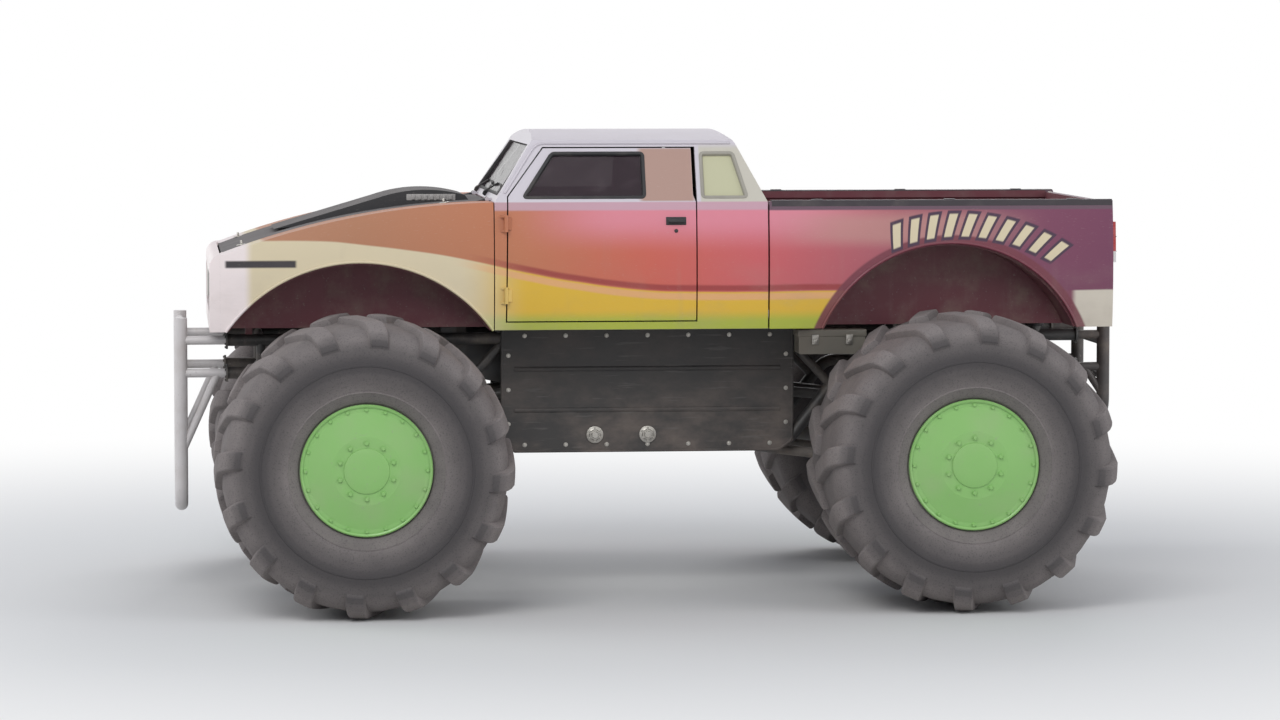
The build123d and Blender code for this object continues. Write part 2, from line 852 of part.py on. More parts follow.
def make_steering_wheel():
    """Steering wheel at the end of its column."""
    lean = Vector(-170, 0, 60).normalized()
    hub = Vector(520, seat_y, 2170) + lean * running_gap
    plane = Plane(origin=hub, z_dir=lean, x_dir=(0, 1, 0))
    with BuildPart(plane) as wheel:
        Cylinder(32, 30, align=(Align.CENTER, Align.CENTER, Align.MIN))
        with Locations((0, 0, 15)):
            Torus(165, 14)
            Box(320, 26, 12)
    return wheel.part


# Body shell


def body_section(inset):
    """Cross-section of the cab and its doors, drawn in the current sketch."""
    with BuildLine() as edge:
        ThreePointArc((body_low_half, sill_z), (body_half_width, body_mid_z), (belt_half, belt_z))
        Line((belt_half, belt_z), (roof_half, roof_edge_z))
        ThreePointArc((roof_half, roof_edge_z), (0, roof_z), (-roof_half, roof_edge_z))
        Line((-roof_half, roof_edge_z), (-belt_half, belt_z))
        ThreePointArc((-belt_half, belt_z), (-body_half_width, body_mid_z), (-body_low_half, sill_z))
        Line((-body_low_half, sill_z), (body_low_half, sill_z))
    make_face(edge.edges())
    if inset:
        offset(amount=-inset, kind=Kind.INTERSECTION, mode=Mode.REPLACE)


def cab_volume(inset):
    """Everything inside the cab's outer skin, drawn in by an inset."""
    with BuildPart() as volume:
        with BuildSketch(Plane.YZ.offset(cab_rear_x - 50)):
            body_section(inset)
        extrude(amount=cowl_x - cab_rear_x + 100)
        with BuildSketch(Plane.XZ):
            with BuildLine():
                Polyline(
                    (cab_rear_x, sill_z - 40),
                    (cab_rear_x, belt_z),
                    (roof_rear_x - 70, roof_edge_z - 20),
                    (roof_rear_x, roof_z + 20),
                    (roof_front_x, roof_z + 20),
                    (cowl_x, belt_z),
                    (cowl_x, sill_z - 40),
                    close=True,
                )
            make_face()
            if inset:
                offset(amount=-inset, kind=Kind.INTERSECTION, mode=Mode.REPLACE)
        extrude(amount=body_half_width + 50, both=True, mode=Mode.INTERSECT)
    return volume.part


def skin_half(z):
    """Distance from the centre plane to the body's outer skin below the belt, at one height."""
    with BuildLine() as edge:
        ThreePointArc((body_low_half, sill_z), (body_half_width, body_mid_z), (belt_half, belt_z))
    arc = edge.edges()[0]
    centre = arc.arc_center
    return centre.X + (arc.radius**2 - (z - centre.Y) ** 2) ** 0.5


def door_hinges():
    """Both hinges of the left door: where each stands, and how far its leaf slopes in."""
    x = door_front_x + 6
    y = max(skin_half(z) for z in door_hinge_heights) + door_hinge_stand
    return [((x, y, z), (y - skin_half(z)) / door_leaf) for z in door_hinge_heights]


def door_outline(gap, relief):
    """The door's edge in side view, grown by a gap; the door itself takes the relief at its frame."""
    with BuildLine() as edge:
        Polyline(
            (door_rear_x, door_bottom_z),
            (door_rear_x, belt_z),
            (door_rear_x + frame_relief * relief, belt_z + 40),
            (door_rear_x + frame_relief * relief, door_top_z),
            (window_front_x - 120, door_top_z),
            (door_front_x - 10, belt_z + 30),
            (door_front_x, door_bottom_z),
            close=True,
        )
    make_face(edge.edges())
    if gap:
        offset(amount=gap, kind=Kind.INTERSECTION, mode=Mode.REPLACE)


def window_outline(gap):
    """The door window's edge in side view, in the current sketch, shrunk by a gap."""
    with BuildLine() as edge:
        Polyline(
            (window_rear_x, window_low_z),
            (window_rear_x, window_top_z),
            (window_front_x - 170, window_top_z),
            (window_front_x, window_low_z),
            close=True,
        )
    make_face(edge.edges())
    if gap:
        offset(amount=-gap, kind=Kind.INTERSECTION, mode=Mode.REPLACE)


def quarter_outline(gap):
    """The small rear side window's edge in side view, in the current sketch."""
    with BuildLine() as edge:
        Polyline(
            (quarter_rear_x, window_low_z),
            (quarter_rear_x + 70, window_top_z),
            (quarter_front_x, window_top_z),
            (quarter_front_x, window_low_z),
            close=True,
        )
    make_face(edge.edges())
    if gap:
        offset(amount=-gap, kind=Kind.INTERSECTION, mode=Mode.REPLACE)


def screen_outline(gap):
    """The windscreen's edge seen from the front, in the current sketch."""
    with BuildLine() as edge:
        low, high = belt_half - screen_margin, roof_half - 80
        foot, head = belt_z + screen_foot, roof_edge_z - screen_head
        Polyline((-low, foot), (-high, head), (high, head), (low, foot), close=True)
    make_face(edge.edges())
    if gap:
        offset(amount=-gap, kind=Kind.INTERSECTION, mode=Mode.REPLACE)


def back_outline(gap):
    """The rear window's edge seen from behind, in the current sketch."""
    with BuildLine() as edge:
        low, high = belt_half - back_margin, roof_half - 155
        foot, head = belt_z + back_foot, roof_edge_z - back_head
        Polyline((-low, foot), (-high, head), (high, head), (low, foot), close=True)
    make_face(edge.edges())
    if gap:
        offset(amount=-gap, kind=Kind.INTERSECTION, mode=Mode.REPLACE)


def make_cab():
    """Hollow cab: floor, firewall, pillars, roof and rear wall, with every opening cut."""
    inner = cab_volume(cab_wall)
    with BuildPart() as cab:
        add(cab_volume(0))
        add(inner, mode=Mode.SUBTRACT)
        with BuildSketch(Plane.XZ):
            door_outline(shut_gap, 0)
        extrude(amount=wide, both=True, mode=Mode.SUBTRACT)
        with BuildSketch(Plane.XZ):
            quarter_outline(0)
        extrude(amount=wide, both=True, mode=Mode.SUBTRACT)
        with BuildSketch(Plane.YZ.offset(roof_front_x - 160)):
            screen_outline(0)
        extrude(amount=600, mode=Mode.SUBTRACT)
        with BuildSketch(Plane.YZ.offset(roof_rear_x + 20)):
            back_outline(0)
        extrude(amount=-400, mode=Mode.SUBTRACT)
        for side in (1, -1):
            hinge_fixed((hood_hinge_x, side * hood_hinge_y, hood_hinge_z), (0, 1, 0), (-44, 0, 0))
            for (x, y, z), slope in door_hinges():
                hinge_fixed((x, side * y, z), (0, 0, 1), (door_leaf, -side * slope * door_leaf, 0))
    return cab.part


def make_door():
    """Left door, cut from the same skin as the cab, with its window opening."""
    inner = cab_volume(cab_wall)
    with BuildPart() as door:
        add(cab_volume(0))
        add(inner, mode=Mode.SUBTRACT)
        with BuildSketch(Plane.XZ):
            door_outline(0, 1)
        extrude(amount=-wide, mode=Mode.INTERSECT)
        with BuildSketch(Plane.XZ):
            window_outline(0)
        extrude(amount=-wide, mode=Mode.SUBTRACT)
        for at, slope in door_hinges():
            hinge_moving(at, (0, 0, 1), (-door_leaf, -slope * door_leaf, 0))
    return door.part


def glass_shell():
    """A pane-thick shell that follows the cab's skin."""
    inner = cab_volume(glass_inset + glass_thickness)
    with BuildPart() as shell:
        add(cab_volume(glass_inset))
        add(inner, mode=Mode.SUBTRACT)
    return shell.part


def make_door_glass(shell):
    """Left door's pane."""
    with BuildPart() as pane:
        add(shell)
        with BuildSketch(Plane.XZ):
            window_outline(running_gap)
        extrude(amount=-wide, mode=Mode.INTERSECT)
    return pane.part


def make_cab_glass(shell):
    """Windscreen, rear window and both quarter windows."""
    cuts = [
        (Plane.YZ.offset(roof_front_x - 160), screen_outline, 600, False),
        (Plane.YZ.offset(roof_rear_x + 20), back_outline, -400, False),
        (Plane.XZ, quarter_outline, wide, True),
    ]
    panes = []
    for plane, outline, depth, both in cuts:
        with BuildPart() as pane:
            add(shell)
            with BuildSketch(plane):
                outline(running_gap)
            extrude(amount=depth, both=both, mode=Mode.INTERSECT)
        panes.append(pane.part)
    with BuildPart() as glass:
        for pane in panes:
            add(pane)
    return glass.part


def clip_volume(inset, top):
    """Everything inside the front clip's skin: fenders, hood and nose."""
    with BuildPart() as volume:
        with BuildSketch(Plane.YZ.offset(cowl_x + 6)):
            with BuildLine():
                ThreePointArc((body_low_half, sill_z), (body_half_width, body_mid_z), (belt_half, belt_z))
                Polyline(
                    (belt_half, belt_z),
                    (belt_half, belt_z + 80),
                    (-belt_half, belt_z + 80),
                    (-belt_half, belt_z),
                )
                ThreePointArc(
                    (-belt_half, belt_z), (-body_half_width, body_mid_z), (-body_low_half, sill_z)
                )
                Line((-body_low_half, sill_z), (body_low_half, sill_z))
            make_face()
            if inset:
                offset(amount=-inset, kind=Kind.INTERSECTION, mode=Mode.REPLACE)
        extrude(amount=nose_x - cowl_x)
        with BuildSketch(Plane.XZ):
            with BuildLine():
                Polyline(
                    (cowl_x - 60, belt_z - top),
                    (cowl_x - 60, sill_z - 60),
                    (nose_x - inset, sill_z - 60),
                    (nose_x - inset, hood_nose_z - 70),
                )
                ThreePointArc(
                    (nose_x - inset, hood_nose_z - 70),
                    (nose_x - 22 - inset, hood_nose_z - 20 - top),
                    (nose_x - 80, hood_nose_z - top),
                )
                ThreePointArc(
                    (nose_x - 80, hood_nose_z - top), (1750, 2205 - top), (cowl_x - 60, belt_z - top)
                )
            make_face()
        extrude(amount=body_half_width + 50, both=True, mode=Mode.INTERSECT)
    return volume.part


def make_clip_shell():
    """Sheet skin of the front clip, open below and behind."""
    inner = clip_volume(panel, panel)
    with BuildPart() as shell:
        add(clip_volume(0, 0))
        add(inner, mode=Mode.SUBTRACT)
        with BuildSketch(Plane.YZ.offset(cowl_x - 10)):
            with Locations((0, sill_z)):
                Rectangle(2 * (body_low_half - panel - 6), 80)
        extrude(amount=nose_x - cowl_x - panel - 20, mode=Mode.SUBTRACT)
    return shell.part


def arch_outline(centre_x, half, top_z):
    """A wheel arch in side view, in the current sketch."""
    with BuildLine() as edge:
        ThreePointArc((centre_x - half, sill_z), (centre_x, top_z), (centre_x + half, sill_z))
        Polyline(
            (centre_x + half, sill_z),
            (centre_x + half, sill_z - 100),
            (centre_x - half, sill_z - 100),
            (centre_x - half, sill_z),
        )
    make_face(edge.edges())


def make_hood(shell):
    """Hood panel with its raised bulge and hinge barrels."""
    front = nose_x - 70
    with BuildPart() as hood:
        add(shell)
        with BuildSketch(Plane.XY.offset(sill_z + 300)):
            with Locations(((cowl_x + 14 + front) / 2, 0)):
                Rectangle(front - cowl_x - 14, 2 * hood_half_width)
        extrude(amount=600, mode=Mode.INTERSECT)
        with BuildSketch(Plane.XZ.offset(-bulge_half_width)):
            with BuildLine():
                Line((cowl_x + 90, belt_z - 30), (cowl_x + 130, belt_z + 24))
                ThreePointArc(
                    (cowl_x + 130, belt_z + 24), (cowl_x + 370, bulge_top_z), (cowl_x + 640, belt_z + 8)
                )
                Line((cowl_x + 640, belt_z + 8), (cowl_x + 1240, belt_z - 170))
                Line((cowl_x + 1240, belt_z - 170), (cowl_x + 90, belt_z - 30))
            make_face()
        extrude(amount=2 * bulge_half_width)
        for side in (1, -1):
            for end in (1, -1):
                y = side * hood_hinge_y + end * (hinge_barrel_length / 2 + 6)
                with Locations((hood_hinge_x, y, hood_hinge_z)):
                    Box(60, 24, 60, mode=Mode.SUBTRACT)
            hinge_moving((hood_hinge_x, side * hood_hinge_y, hood_hinge_z), (0, 1, 0), (56, 0, -13))
    return hood.part


def make_fenders(shell):
    """Both front fenders, each with its wheel arch cut."""
    with BuildPart() as fenders:
        add(shell)
        with BuildSketch(Plane.XY.offset(sill_z - 100)):
            with Locations((1800, 0)):
                Rectangle(2000, 2 * (hood_half_width + shut_gap))
        extrude(amount=1000, mode=Mode.SUBTRACT)
        with BuildSketch(Plane.YZ.offset(nose_x - 60)):
            with Locations((0, sill_z + 200)):
                Rectangle(2200, 1000)
        extrude(amount=200, mode=Mode.SUBTRACT)
        with BuildSketch(Plane.XZ):
            arch_outline(axle_x, front_arch_half, front_arch_top_z)
        extrude(amount=wide, both=True, mode=Mode.SUBTRACT)
    return fenders.part


def make_nose(shell):
    """Front panel between the fenders, with openings for the grille and lamps."""
    with BuildPart() as nose:
        add(shell)
        with BuildSketch(Plane.YZ.offset(nose_x - 60 + running_gap)):
            with Locations((0, sill_z + 200)):
                Rectangle(2200, 1000)
        extrude(amount=200, mode=Mode.INTERSECT)
        with BuildSketch(Plane.XY.offset(sill_z + 300)):
            with Locations(((cowl_x + nose_x - 90) / 2 + 14 + 3, 0)):
                Rectangle(nose_x - 90 - cowl_x + 10, 2 * (hood_half_width + shut_gap))
        extrude(amount=600, mode=Mode.SUBTRACT)
        with BuildSketch(Plane.YZ.offset(nose_x - 300)):
            with Locations((0, grille_z)):
                Rectangle(2 * grille_half_width, grille_height)
        extrude(amount=400, mode=Mode.SUBTRACT)
    return nose.part


def make_front_wheelhouses():
    """Both front wheelhouse shells, carried by the fenders' lips."""
    with BuildPart() as houses:
        wheelhouse(axle_x, front_arch_half, front_arch_top_z, body_low_half - panel - 8)
    return houses.part


def make_core_support():
    """Upright panel behind the nose that ties the fenders to the frame."""
    with BuildPart() as support:
        add(clip_volume(panel + running_gap, panel + running_gap))
        with BuildSketch(Plane.YZ.offset(core_x)):
            Rectangle(2400, 6000)
            with Locations((0, sill_z + 200)):
                Rectangle(1000, 260, mode=Mode.SUBTRACT)
        extrude(amount=40, mode=Mode.INTERSECT)
        with BuildSketch(Plane.XY.offset(upper_rail_z + rail_radius + running_gap)):
            with Locations((core_x + 20, frame_half_width), (core_x + 20, -frame_half_width)):
                Rectangle(40, 90)
        extrude(amount=sill_z + 20 - upper_rail_z - rail_radius)
        with BuildSketch(Plane.XZ) as arch:
            shrink = tub_clearance - running_gap
            arch_outline(axle_x, front_arch_half - shrink, front_arch_top_z - shrink)
        for side in (1, -1):
            start = side * (tub_inner_y - running_gap)
            extrude(arch.sketch.moved(Location((0, start, 0))), amount=-side * 500, mode=Mode.SUBTRACT)
    return support.part


def make_grille():
    """Grille frame with its bars, filling the nose opening between the lamps."""
    with BuildPart() as grille:
        with BuildSketch(Plane.YZ.offset(nose_x - 60)):
            with Locations((0, grille_z)):
                Rectangle(2 * (grille_half_width - running_gap), grille_height - 2 * running_gap)
                Rectangle(2 * (lamp_y - lamp_half_width - 26), grille_height - 60, mode=Mode.SUBTRACT)
            with Locations((-lamp_y, grille_z), (lamp_y, grille_z)):
                Rectangle(2 * lamp_half_width, lamp_height, mode=Mode.SUBTRACT)
        extrude(amount=46)
        with BuildSketch(Plane.YZ.offset(nose_x - 50)):
            bar_reach = 2 * (lamp_y - lamp_half_width - 21)
            with Locations((0, grille_z)):
                with GridLocations(0, 40, 1, 4):
                    Rectangle(bar_reach, 12)
                with GridLocations(bar_reach / 5, 0, 4, 1):
                    Rectangle(12, grille_height - 50)
        extrude(amount=26)
    return grille.part


def make_headlamps():
    """Two rectangular headlamps."""
    with BuildPart() as lamps:
        with BuildSketch(Plane.YZ.offset(nose_x - 58)):
            with Locations((-lamp_y, grille_z), (lamp_y, grille_z)):
                Rectangle(2 * (lamp_half_width - running_gap), lamp_height - 2 * running_gap)
        extrude(amount=40)
    return lamps.part


def make_tail_lamps():
    """Two upright tail lamps on the bedsides' rear faces."""
    with BuildPart() as lamps:
        with BuildSketch(Plane.YZ.offset(tail_x - running_gap)):
            bedside_section()
            with Locations((body_half_width, 2050)):
                Rectangle(200, 240, mode=Mode.INTERSECT)
            offset(amount=-3, kind=Kind.INTERSECTION, mode=Mode.REPLACE)
        extrude(amount=-16)
        mirror(about=Plane.XZ)
    return lamps.part


def make_roll_bar():
    """Roll hoop that follows the cab's rear wall, standing on the cab floor."""
    floor = sill_z + cab_wall + running_gap
    foot_x = cab_rear_x + cab_wall + bar_radius + 0.5
    half_hoop = [(foot_x, 620, floor), (foot_x, 620, 2260), (-430, 520, 2540)]
    hoop = half_hoop + [(x, -y, z) for x, y, z in reversed(half_hoop)]
    with BuildPart() as bar:
        bent_tube(hoop, 90, bar_radius)
    return bar.part


def bedside_section():
    """Cross-section of the left bedside with its rail, in the current sketch."""
    rail_in = belt_half - bed_rail
    with BuildLine() as edge:
        ThreePointArc((body_low_half, sill_z), (body_half_width, body_mid_z), (belt_half, belt_z))
        Polyline(
            (belt_half, belt_z),
            (rail_in, belt_z),
            (rail_in, belt_z - 40),
            (belt_half - bed_wall, belt_z - 40),
        )
        ThreePointArc(
            (belt_half - bed_wall, belt_z - 40),
            (body_half_width - bed_wall, body_mid_z),
            (body_low_half - bed_wall, sill_z),
        )
        Line((body_low_half - bed_wall, sill_z), (body_low_half, sill_z))
    make_face(edge.edges())


def make_bed_sides():
    """Both bedsides with their wheel arches and the bosses that hold the tailgate's pins."""
    pin_z = bed_floor_z + gate_axis_up
    root = bedside_inner(pin_z) + 6
    boss = Plane(origin=(tail_x + gate_axis_in, root, pin_z), z_dir=(0, -1, 0))
    with BuildPart() as sides:
        with BuildSketch(Plane.YZ.offset(tail_x)):
            bedside_section()
        extrude(amount=bed_front_x - tail_x)
        with BuildSketch(Plane.XZ):
            arch_outline(-axle_x, rear_arch_half, rear_arch_top_z)
        extrude(amount=-wide, mode=Mode.SUBTRACT)
        for radius, mode in ((gate_boss_radius, Mode.ADD), (gate_pin_radius + running_gap, Mode.SUBTRACT)):
            with BuildSketch(boss) as disc:
                Circle(radius)
            extrude(disc.sketch, amount=root - gate_half - 6, mode=mode)
        mirror(about=Plane.XZ)
    return sides.part


def bedside_inner(z):
    """Distance from the centre plane to a bedside's inner face at one height."""
    with BuildLine() as edge:
        ThreePointArc(
            (belt_half - bed_wall, belt_z - 40),
            (body_half_width - bed_wall, body_mid_z),
            (body_low_half - bed_wall, sill_z),
        )
    arc = edge.edges()[0]
    centre = arc.arc_center
    return centre.X + (arc.radius**2 - (z - centre.Y) ** 2) ** 0.5


def wheelhouse(centre_x, half, top_z, outer_y):
    """Both wheelhouse shells over one axle, open below and outwards."""
    for side in (1, -1):
        for shrink, mode in ((tub_clearance, Mode.ADD), (tub_clearance + tub_wall, Mode.SUBTRACT)):
            inner = tub_inner_y + (tub_wall if mode == Mode.SUBTRACT else 0)
            with BuildSketch(Plane.XZ.offset(-side * inner)) as profile:
                arch_outline(centre_x, half - shrink, top_z - shrink)
            extrude(profile.sketch, amount=-side * (outer_y - inner), mode=mode)
        with BuildSketch(Plane.XY.offset(sill_z - 101)) as cut:
            with Locations((centre_x, side * outer_y / 2)):
                Rectangle(2 * half + 100, outer_y + 40)
        extrude(cut.sketch, amount=101, mode=Mode.SUBTRACT)


def make_bed_floor():
    """Load floor with its front wall, cross sills and wheel tubs."""
    half = bedside_inner(bed_floor_z) - running_gap
    with BuildPart() as floor:
        with BuildSketch(Plane.XY.offset(bed_floor_z)):
            with Locations(((bed_front_x + tail_x) / 2 + 30, 0)):
                Rectangle(bed_front_x - tail_x - 60, 2 * half)
        extrude(amount=bed_floor_thickness)
        with BuildSketch(Plane.YZ.offset(bed_front_x)):
            with Locations((0, (bed_floor_z + belt_z - 20) / 2)):
                Rectangle(2 * gate_half, belt_z - 20 - bed_floor_z)
        extrude(amount=-40)
        with BuildSketch(Plane.XY.offset(sill_z)):
            with Locations((bed_sill_x, 0), (rear_station, 0)):
                Rectangle(90, 2 * frame_half_width + 160)
        extrude(amount=bed_floor_z - sill_z)
        with BuildSketch(Plane.XZ) as arch:
            shrink = tub_clearance + tub_wall
            arch_outline(-axle_x, rear_arch_half - shrink, rear_arch_top_z - shrink)
        for side in (1, -1):
            opening = arch.sketch.moved(Location((0, side * (tub_inner_y + tub_wall), 0)))
            extrude(opening, amount=-side * wide, mode=Mode.SUBTRACT)
        wheelhouse(-axle_x, rear_arch_half, rear_arch_top_z, half)
    return floor.part


def make_tailgate():
    """Drop-down tailgate between the bedsides, turning on a pin at each end."""
    with BuildPart() as gate:
        with BuildSketch(Plane.YZ.offset(tail_x)):
            with Locations((0, (bed_floor_z + belt_z) / 2)):
                Rectangle(2 * gate_half, belt_z - bed_floor_z - 20)
        extrude(amount=48)
        with BuildSketch(Plane.YZ.offset(tail_x)):
            with Locations((0, (bed_floor_z + belt_z) / 2)):
                Rectangle(2 * gate_half - 240, belt_z - bed_floor_z - 220)
        extrude(amount=10, mode=Mode.SUBTRACT)
        x, z = tail_x + gate_axis_in, bed_floor_z + gate_axis_up
        reach = bedside_inner(z) - 2
        tube((x, -reach, z), (x, reach, z), gate_pin_radius)
    return gate.part


if __name__ == "__main__":
    os.makedirs("parts", exist_ok=True)
    corners = [(True, True), (True, False), (False, True), (False, False)]
    tyre, wheel, knuckle = make_tyre(), make_wheel(), make_knuckle()
    for front, left in corners:
        corner = f"{'front' if front else 'rear'}_{'left' if left else 'right'}"
        write(at_corner(tyre, front, left, turned=False), f"tyre_{corner}")
        write(at_corner(wheel, front, left), f"wheel_{corner}")
        write(at_corner(knuckle, front, left), f"knuckle_{corner}")
    axle, rod, cylinder, ram_rod = make_axle(), make_tie_rod(), make_ram_cylinder(), make_ram_rod()
    for front in (True, False):
        end = "front" if front else "rear"
        write(at_corner(axle, front, True), f"axle_{end}")
        write(at_corner(rod, front, True), f"tie_rod_{end}")
        write(at_corner(cylinder, front, True), f"ram_cylinder_{end}")
        write(at_corner(ram_rod, front, True), f"ram_rod_{end}")
    write(make_links(), "suspension_links")
    write(make_shocks(), "shocks")
    write(make_engine(), "engine")
    write(make_gearbox(), "gearbox")
    write(make_transfer_case(), "transfer_case")
    write(make_driveshafts(), "driveshafts")
    write(make_front_guard(), "front_guard")
    write(make_rear_guard(), "rear_guard")
    write(make_battery_box(), "equipment_box")
    write(make_seats(), "seats")
    write(make_dash(), "dashboard")
    write(make_steering_wheel(), "steering_wheel")
    truss = make_side_truss()
    write(truss, "frame_left")
    write(mirror(truss, about=Plane.XZ), "frame_right")
    write(make_crossmembers(), "crossmembers")
    write(make_skirts(), "side_skirts")
    write(make_cab(), "cab")
    door = make_door()
    write(door, "door_left")
    write(mirror(door, about=Plane.XZ), "door_right")
    panes = glass_shell()
    pane = make_door_glass(panes)
    write(pane, "door_glass_left")
    write(mirror(pane, about=Plane.XZ), "door_glass_right")
    write(make_cab_glass(panes), "cab_glass")
    shell = make_clip_shell()
    write(make_hood(shell), "hood")
    write(make_fenders(shell), "front_fenders")
    write(make_nose(shell), "nose_panel")
    write(make_grille(), "grille")
    write(make_front_wheelhouses(), "front_wheelhouses")
    write(make_core_support(), "core_support")
    write(make_tail_lamps(), "tail_lamps")
    write(make_roll_bar(), "roll_bar")
    write(make_headlamps(), "headlamps")
    write(make_bed_sides(), "bed_sides")
    write(make_bed_floor(), "bed_floor")
    write(make_tailgate(), "tailgate")
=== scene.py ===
"""Monster truck with an extended-cab pickup body: its finishes, tyres, trim and studio."""

import json
from math import cos, pi, radians, sin

import bmesh
import bpy
import numpy as np
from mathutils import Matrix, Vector


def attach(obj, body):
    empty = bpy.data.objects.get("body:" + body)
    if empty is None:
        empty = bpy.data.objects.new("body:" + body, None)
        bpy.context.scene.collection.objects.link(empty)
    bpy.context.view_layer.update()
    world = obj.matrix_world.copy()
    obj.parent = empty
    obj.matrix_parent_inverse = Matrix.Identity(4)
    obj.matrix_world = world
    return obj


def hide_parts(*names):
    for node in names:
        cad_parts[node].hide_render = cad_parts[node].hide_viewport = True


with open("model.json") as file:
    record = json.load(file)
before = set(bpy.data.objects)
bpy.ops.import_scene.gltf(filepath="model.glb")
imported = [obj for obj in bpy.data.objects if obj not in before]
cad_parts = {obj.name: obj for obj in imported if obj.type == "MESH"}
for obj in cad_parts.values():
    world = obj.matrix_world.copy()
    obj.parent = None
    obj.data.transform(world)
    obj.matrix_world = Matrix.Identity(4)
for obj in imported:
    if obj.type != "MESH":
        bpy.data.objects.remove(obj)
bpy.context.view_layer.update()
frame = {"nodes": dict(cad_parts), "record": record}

bl_info = {
    "name": "Monster Truck Dressing",
    "version": (1, 0, 0),
    "blender": (4, 5, 0),
    "location": "3D View > Sidebar > Truck",
    "description": "Tyres, trim, finishes and studio for a monster truck",
    "category": "Object",
}

# Places taken over from the frame, in metres
axle_x = 1.7
wheel_y = 1.27
wheel_z = 0.838
kingpin_y = 0.860
shock_foot = (0.112, 0.520, 0.925)  # ahead of its axle, to the side and up
shock_head = (0.250, 0.462, 1.600)
rail_y = 0.380
skirt_y = 0.4213
sill_z = 1.56
belt_z = 2.29
nose_x = 2.55
cowl_x = 0.93
cab_rear_x = -0.64
cab_floor_z = 1.6003
bed_floor_z = 1.744
front_arch = (axle_x, 0.760, 1.955)  # its middle, half its length and its crown
rear_arch = (-axle_x, 0.745, 2.050)
left_right = (("left", 1), ("right", -1))
axle_ends = (("front", 1), ("rear", -1))
corners = [(f"{end}_{name}", place * axle_x, side) for end, place in axle_ends for name, side in left_right]
forward, rearward = (1, 0, 0), (-1, 0, 0)
leftward, upward = (0, 1, 0), (0, 0, 1)


# Shader expressions


class Wire:
    """One node's output socket; arithmetic on it adds Math nodes to its tree."""

    def __init__(self, nodes, socket):
        self.nodes = nodes
        self.socket = socket

    def _math(self, operation, *values):
        return self.nodes.node("ShaderNodeMath", {"operation": operation}, *values)

    def __add__(self, other):
        return self._math("ADD", self, other)

    def __radd__(self, other):
        return self._math("ADD", other, self)

    def __sub__(self, other):
        return self._math("SUBTRACT", self, other)

    def __rsub__(self, other):
        return self._math("SUBTRACT", other, self)

    def __mul__(self, other):
        return self._math("MULTIPLY", self, other)

    def __rmul__(self, other):
        return self._math("MULTIPLY", other, self)

    def __truediv__(self, other):
        return self._math("DIVIDE", self, other)

    def __rtruediv__(self, other):
        return self._math("DIVIDE", other, self)

    def __neg__(self):
        return self._math("MULTIPLY", self, -1.0)

    def size(self):
        """Its distance from nought."""
        return self._math("ABSOLUTE", self)

    def part(self):
        """What is left over a whole number."""
        return self._math("FRACT", self)

    def root(self):
        """Its square root."""
        return self._math("SQRT", self)

    def least(self, other):
        """The smaller of the two."""
        return self._math("MINIMUM", self, other)

    def most(self, other):
        """The larger of the two."""
        return self._math("MAXIMUM", self, other)

    def turn_from(self, other):
        """Angle of the direction that goes this far across and the other up, from straight up."""
        return self._math("ARCTAN2", self, other)

    def rise(self, start, end):
        """Nought below start, one above end and smooth between them."""
        smooth = {"interpolation_type": "SMOOTHSTEP"}
        return self.nodes.node("ShaderNodeMapRange", smooth, Value=self, From_Min=start, From_Max=end)

    def fall(self, start, end):
        """One below start, nought above end and smooth between them."""
        return 1 - self.rise(start, end)

    def within(self, low, high, soft):
        """One between low and high, with soft edges."""
        return self.rise(low - soft, low + soft) * self.fall(high - soft, high + soft)

    def ridges(self, count):
        """How far it is from the middle of its step, with so many steps a metre: nought to a half."""
        return ((self * count).part() - 0.5).size()


class Nodes:
    """A node tree under construction."""

    def __init__(self, tree):
        self.tree = tree

    def feed(self, socket, value):
        """Links a wire to a socket, or gives the socket a value."""
        if isinstance(value, Wire):
            self.tree.links.new(value.socket, socket)
        elif socket.type == "RGBA":
            socket.default_value = (*value[:3], 1)
        else:
            socket.default_value = value

    def node(self, kind, settings=None, *values, output=None, **sockets):
        """Adds any node: its settings first, then socket values or links by order or by name."""
        made = self.tree.nodes.new(kind)
        for key, value in (settings or {}).items():
            if key == "stops":
                ramp = made.color_ramp
                while len(ramp.elements) < len(value):
                    ramp.elements.new(0.5)
                for stop, (at, colour) in zip(ramp.elements, value):
                    stop.position = at
                    stop.color = (*colour, 1)
            else:
                setattr(made, key, value)
        enabled = [s for s in made.inputs if s.enabled]
        for socket, value in zip(enabled, values):
            self.feed(socket, value)
        for key, value in sockets.items():
            self.feed(next(s for s in enabled if s.name == key.replace("_", " ")), value)
        outputs = [s for s in made.outputs if s.enabled]
        chosen = next(s for s in outputs if s.name == output) if output else outputs[0]
        return Wire(self, chosen)

    def direct_rays(self):
        """One on rays from the camera, also after a mirror or a pane; nought on all others."""
        rays = ("Is Camera Ray", "Is Glossy Ray", "Is Transmission Ray")
        camera, glossy, through = (self.node("ShaderNodeLightPath", output=ray) for ray in rays)
        return camera.most(glossy).most(through)


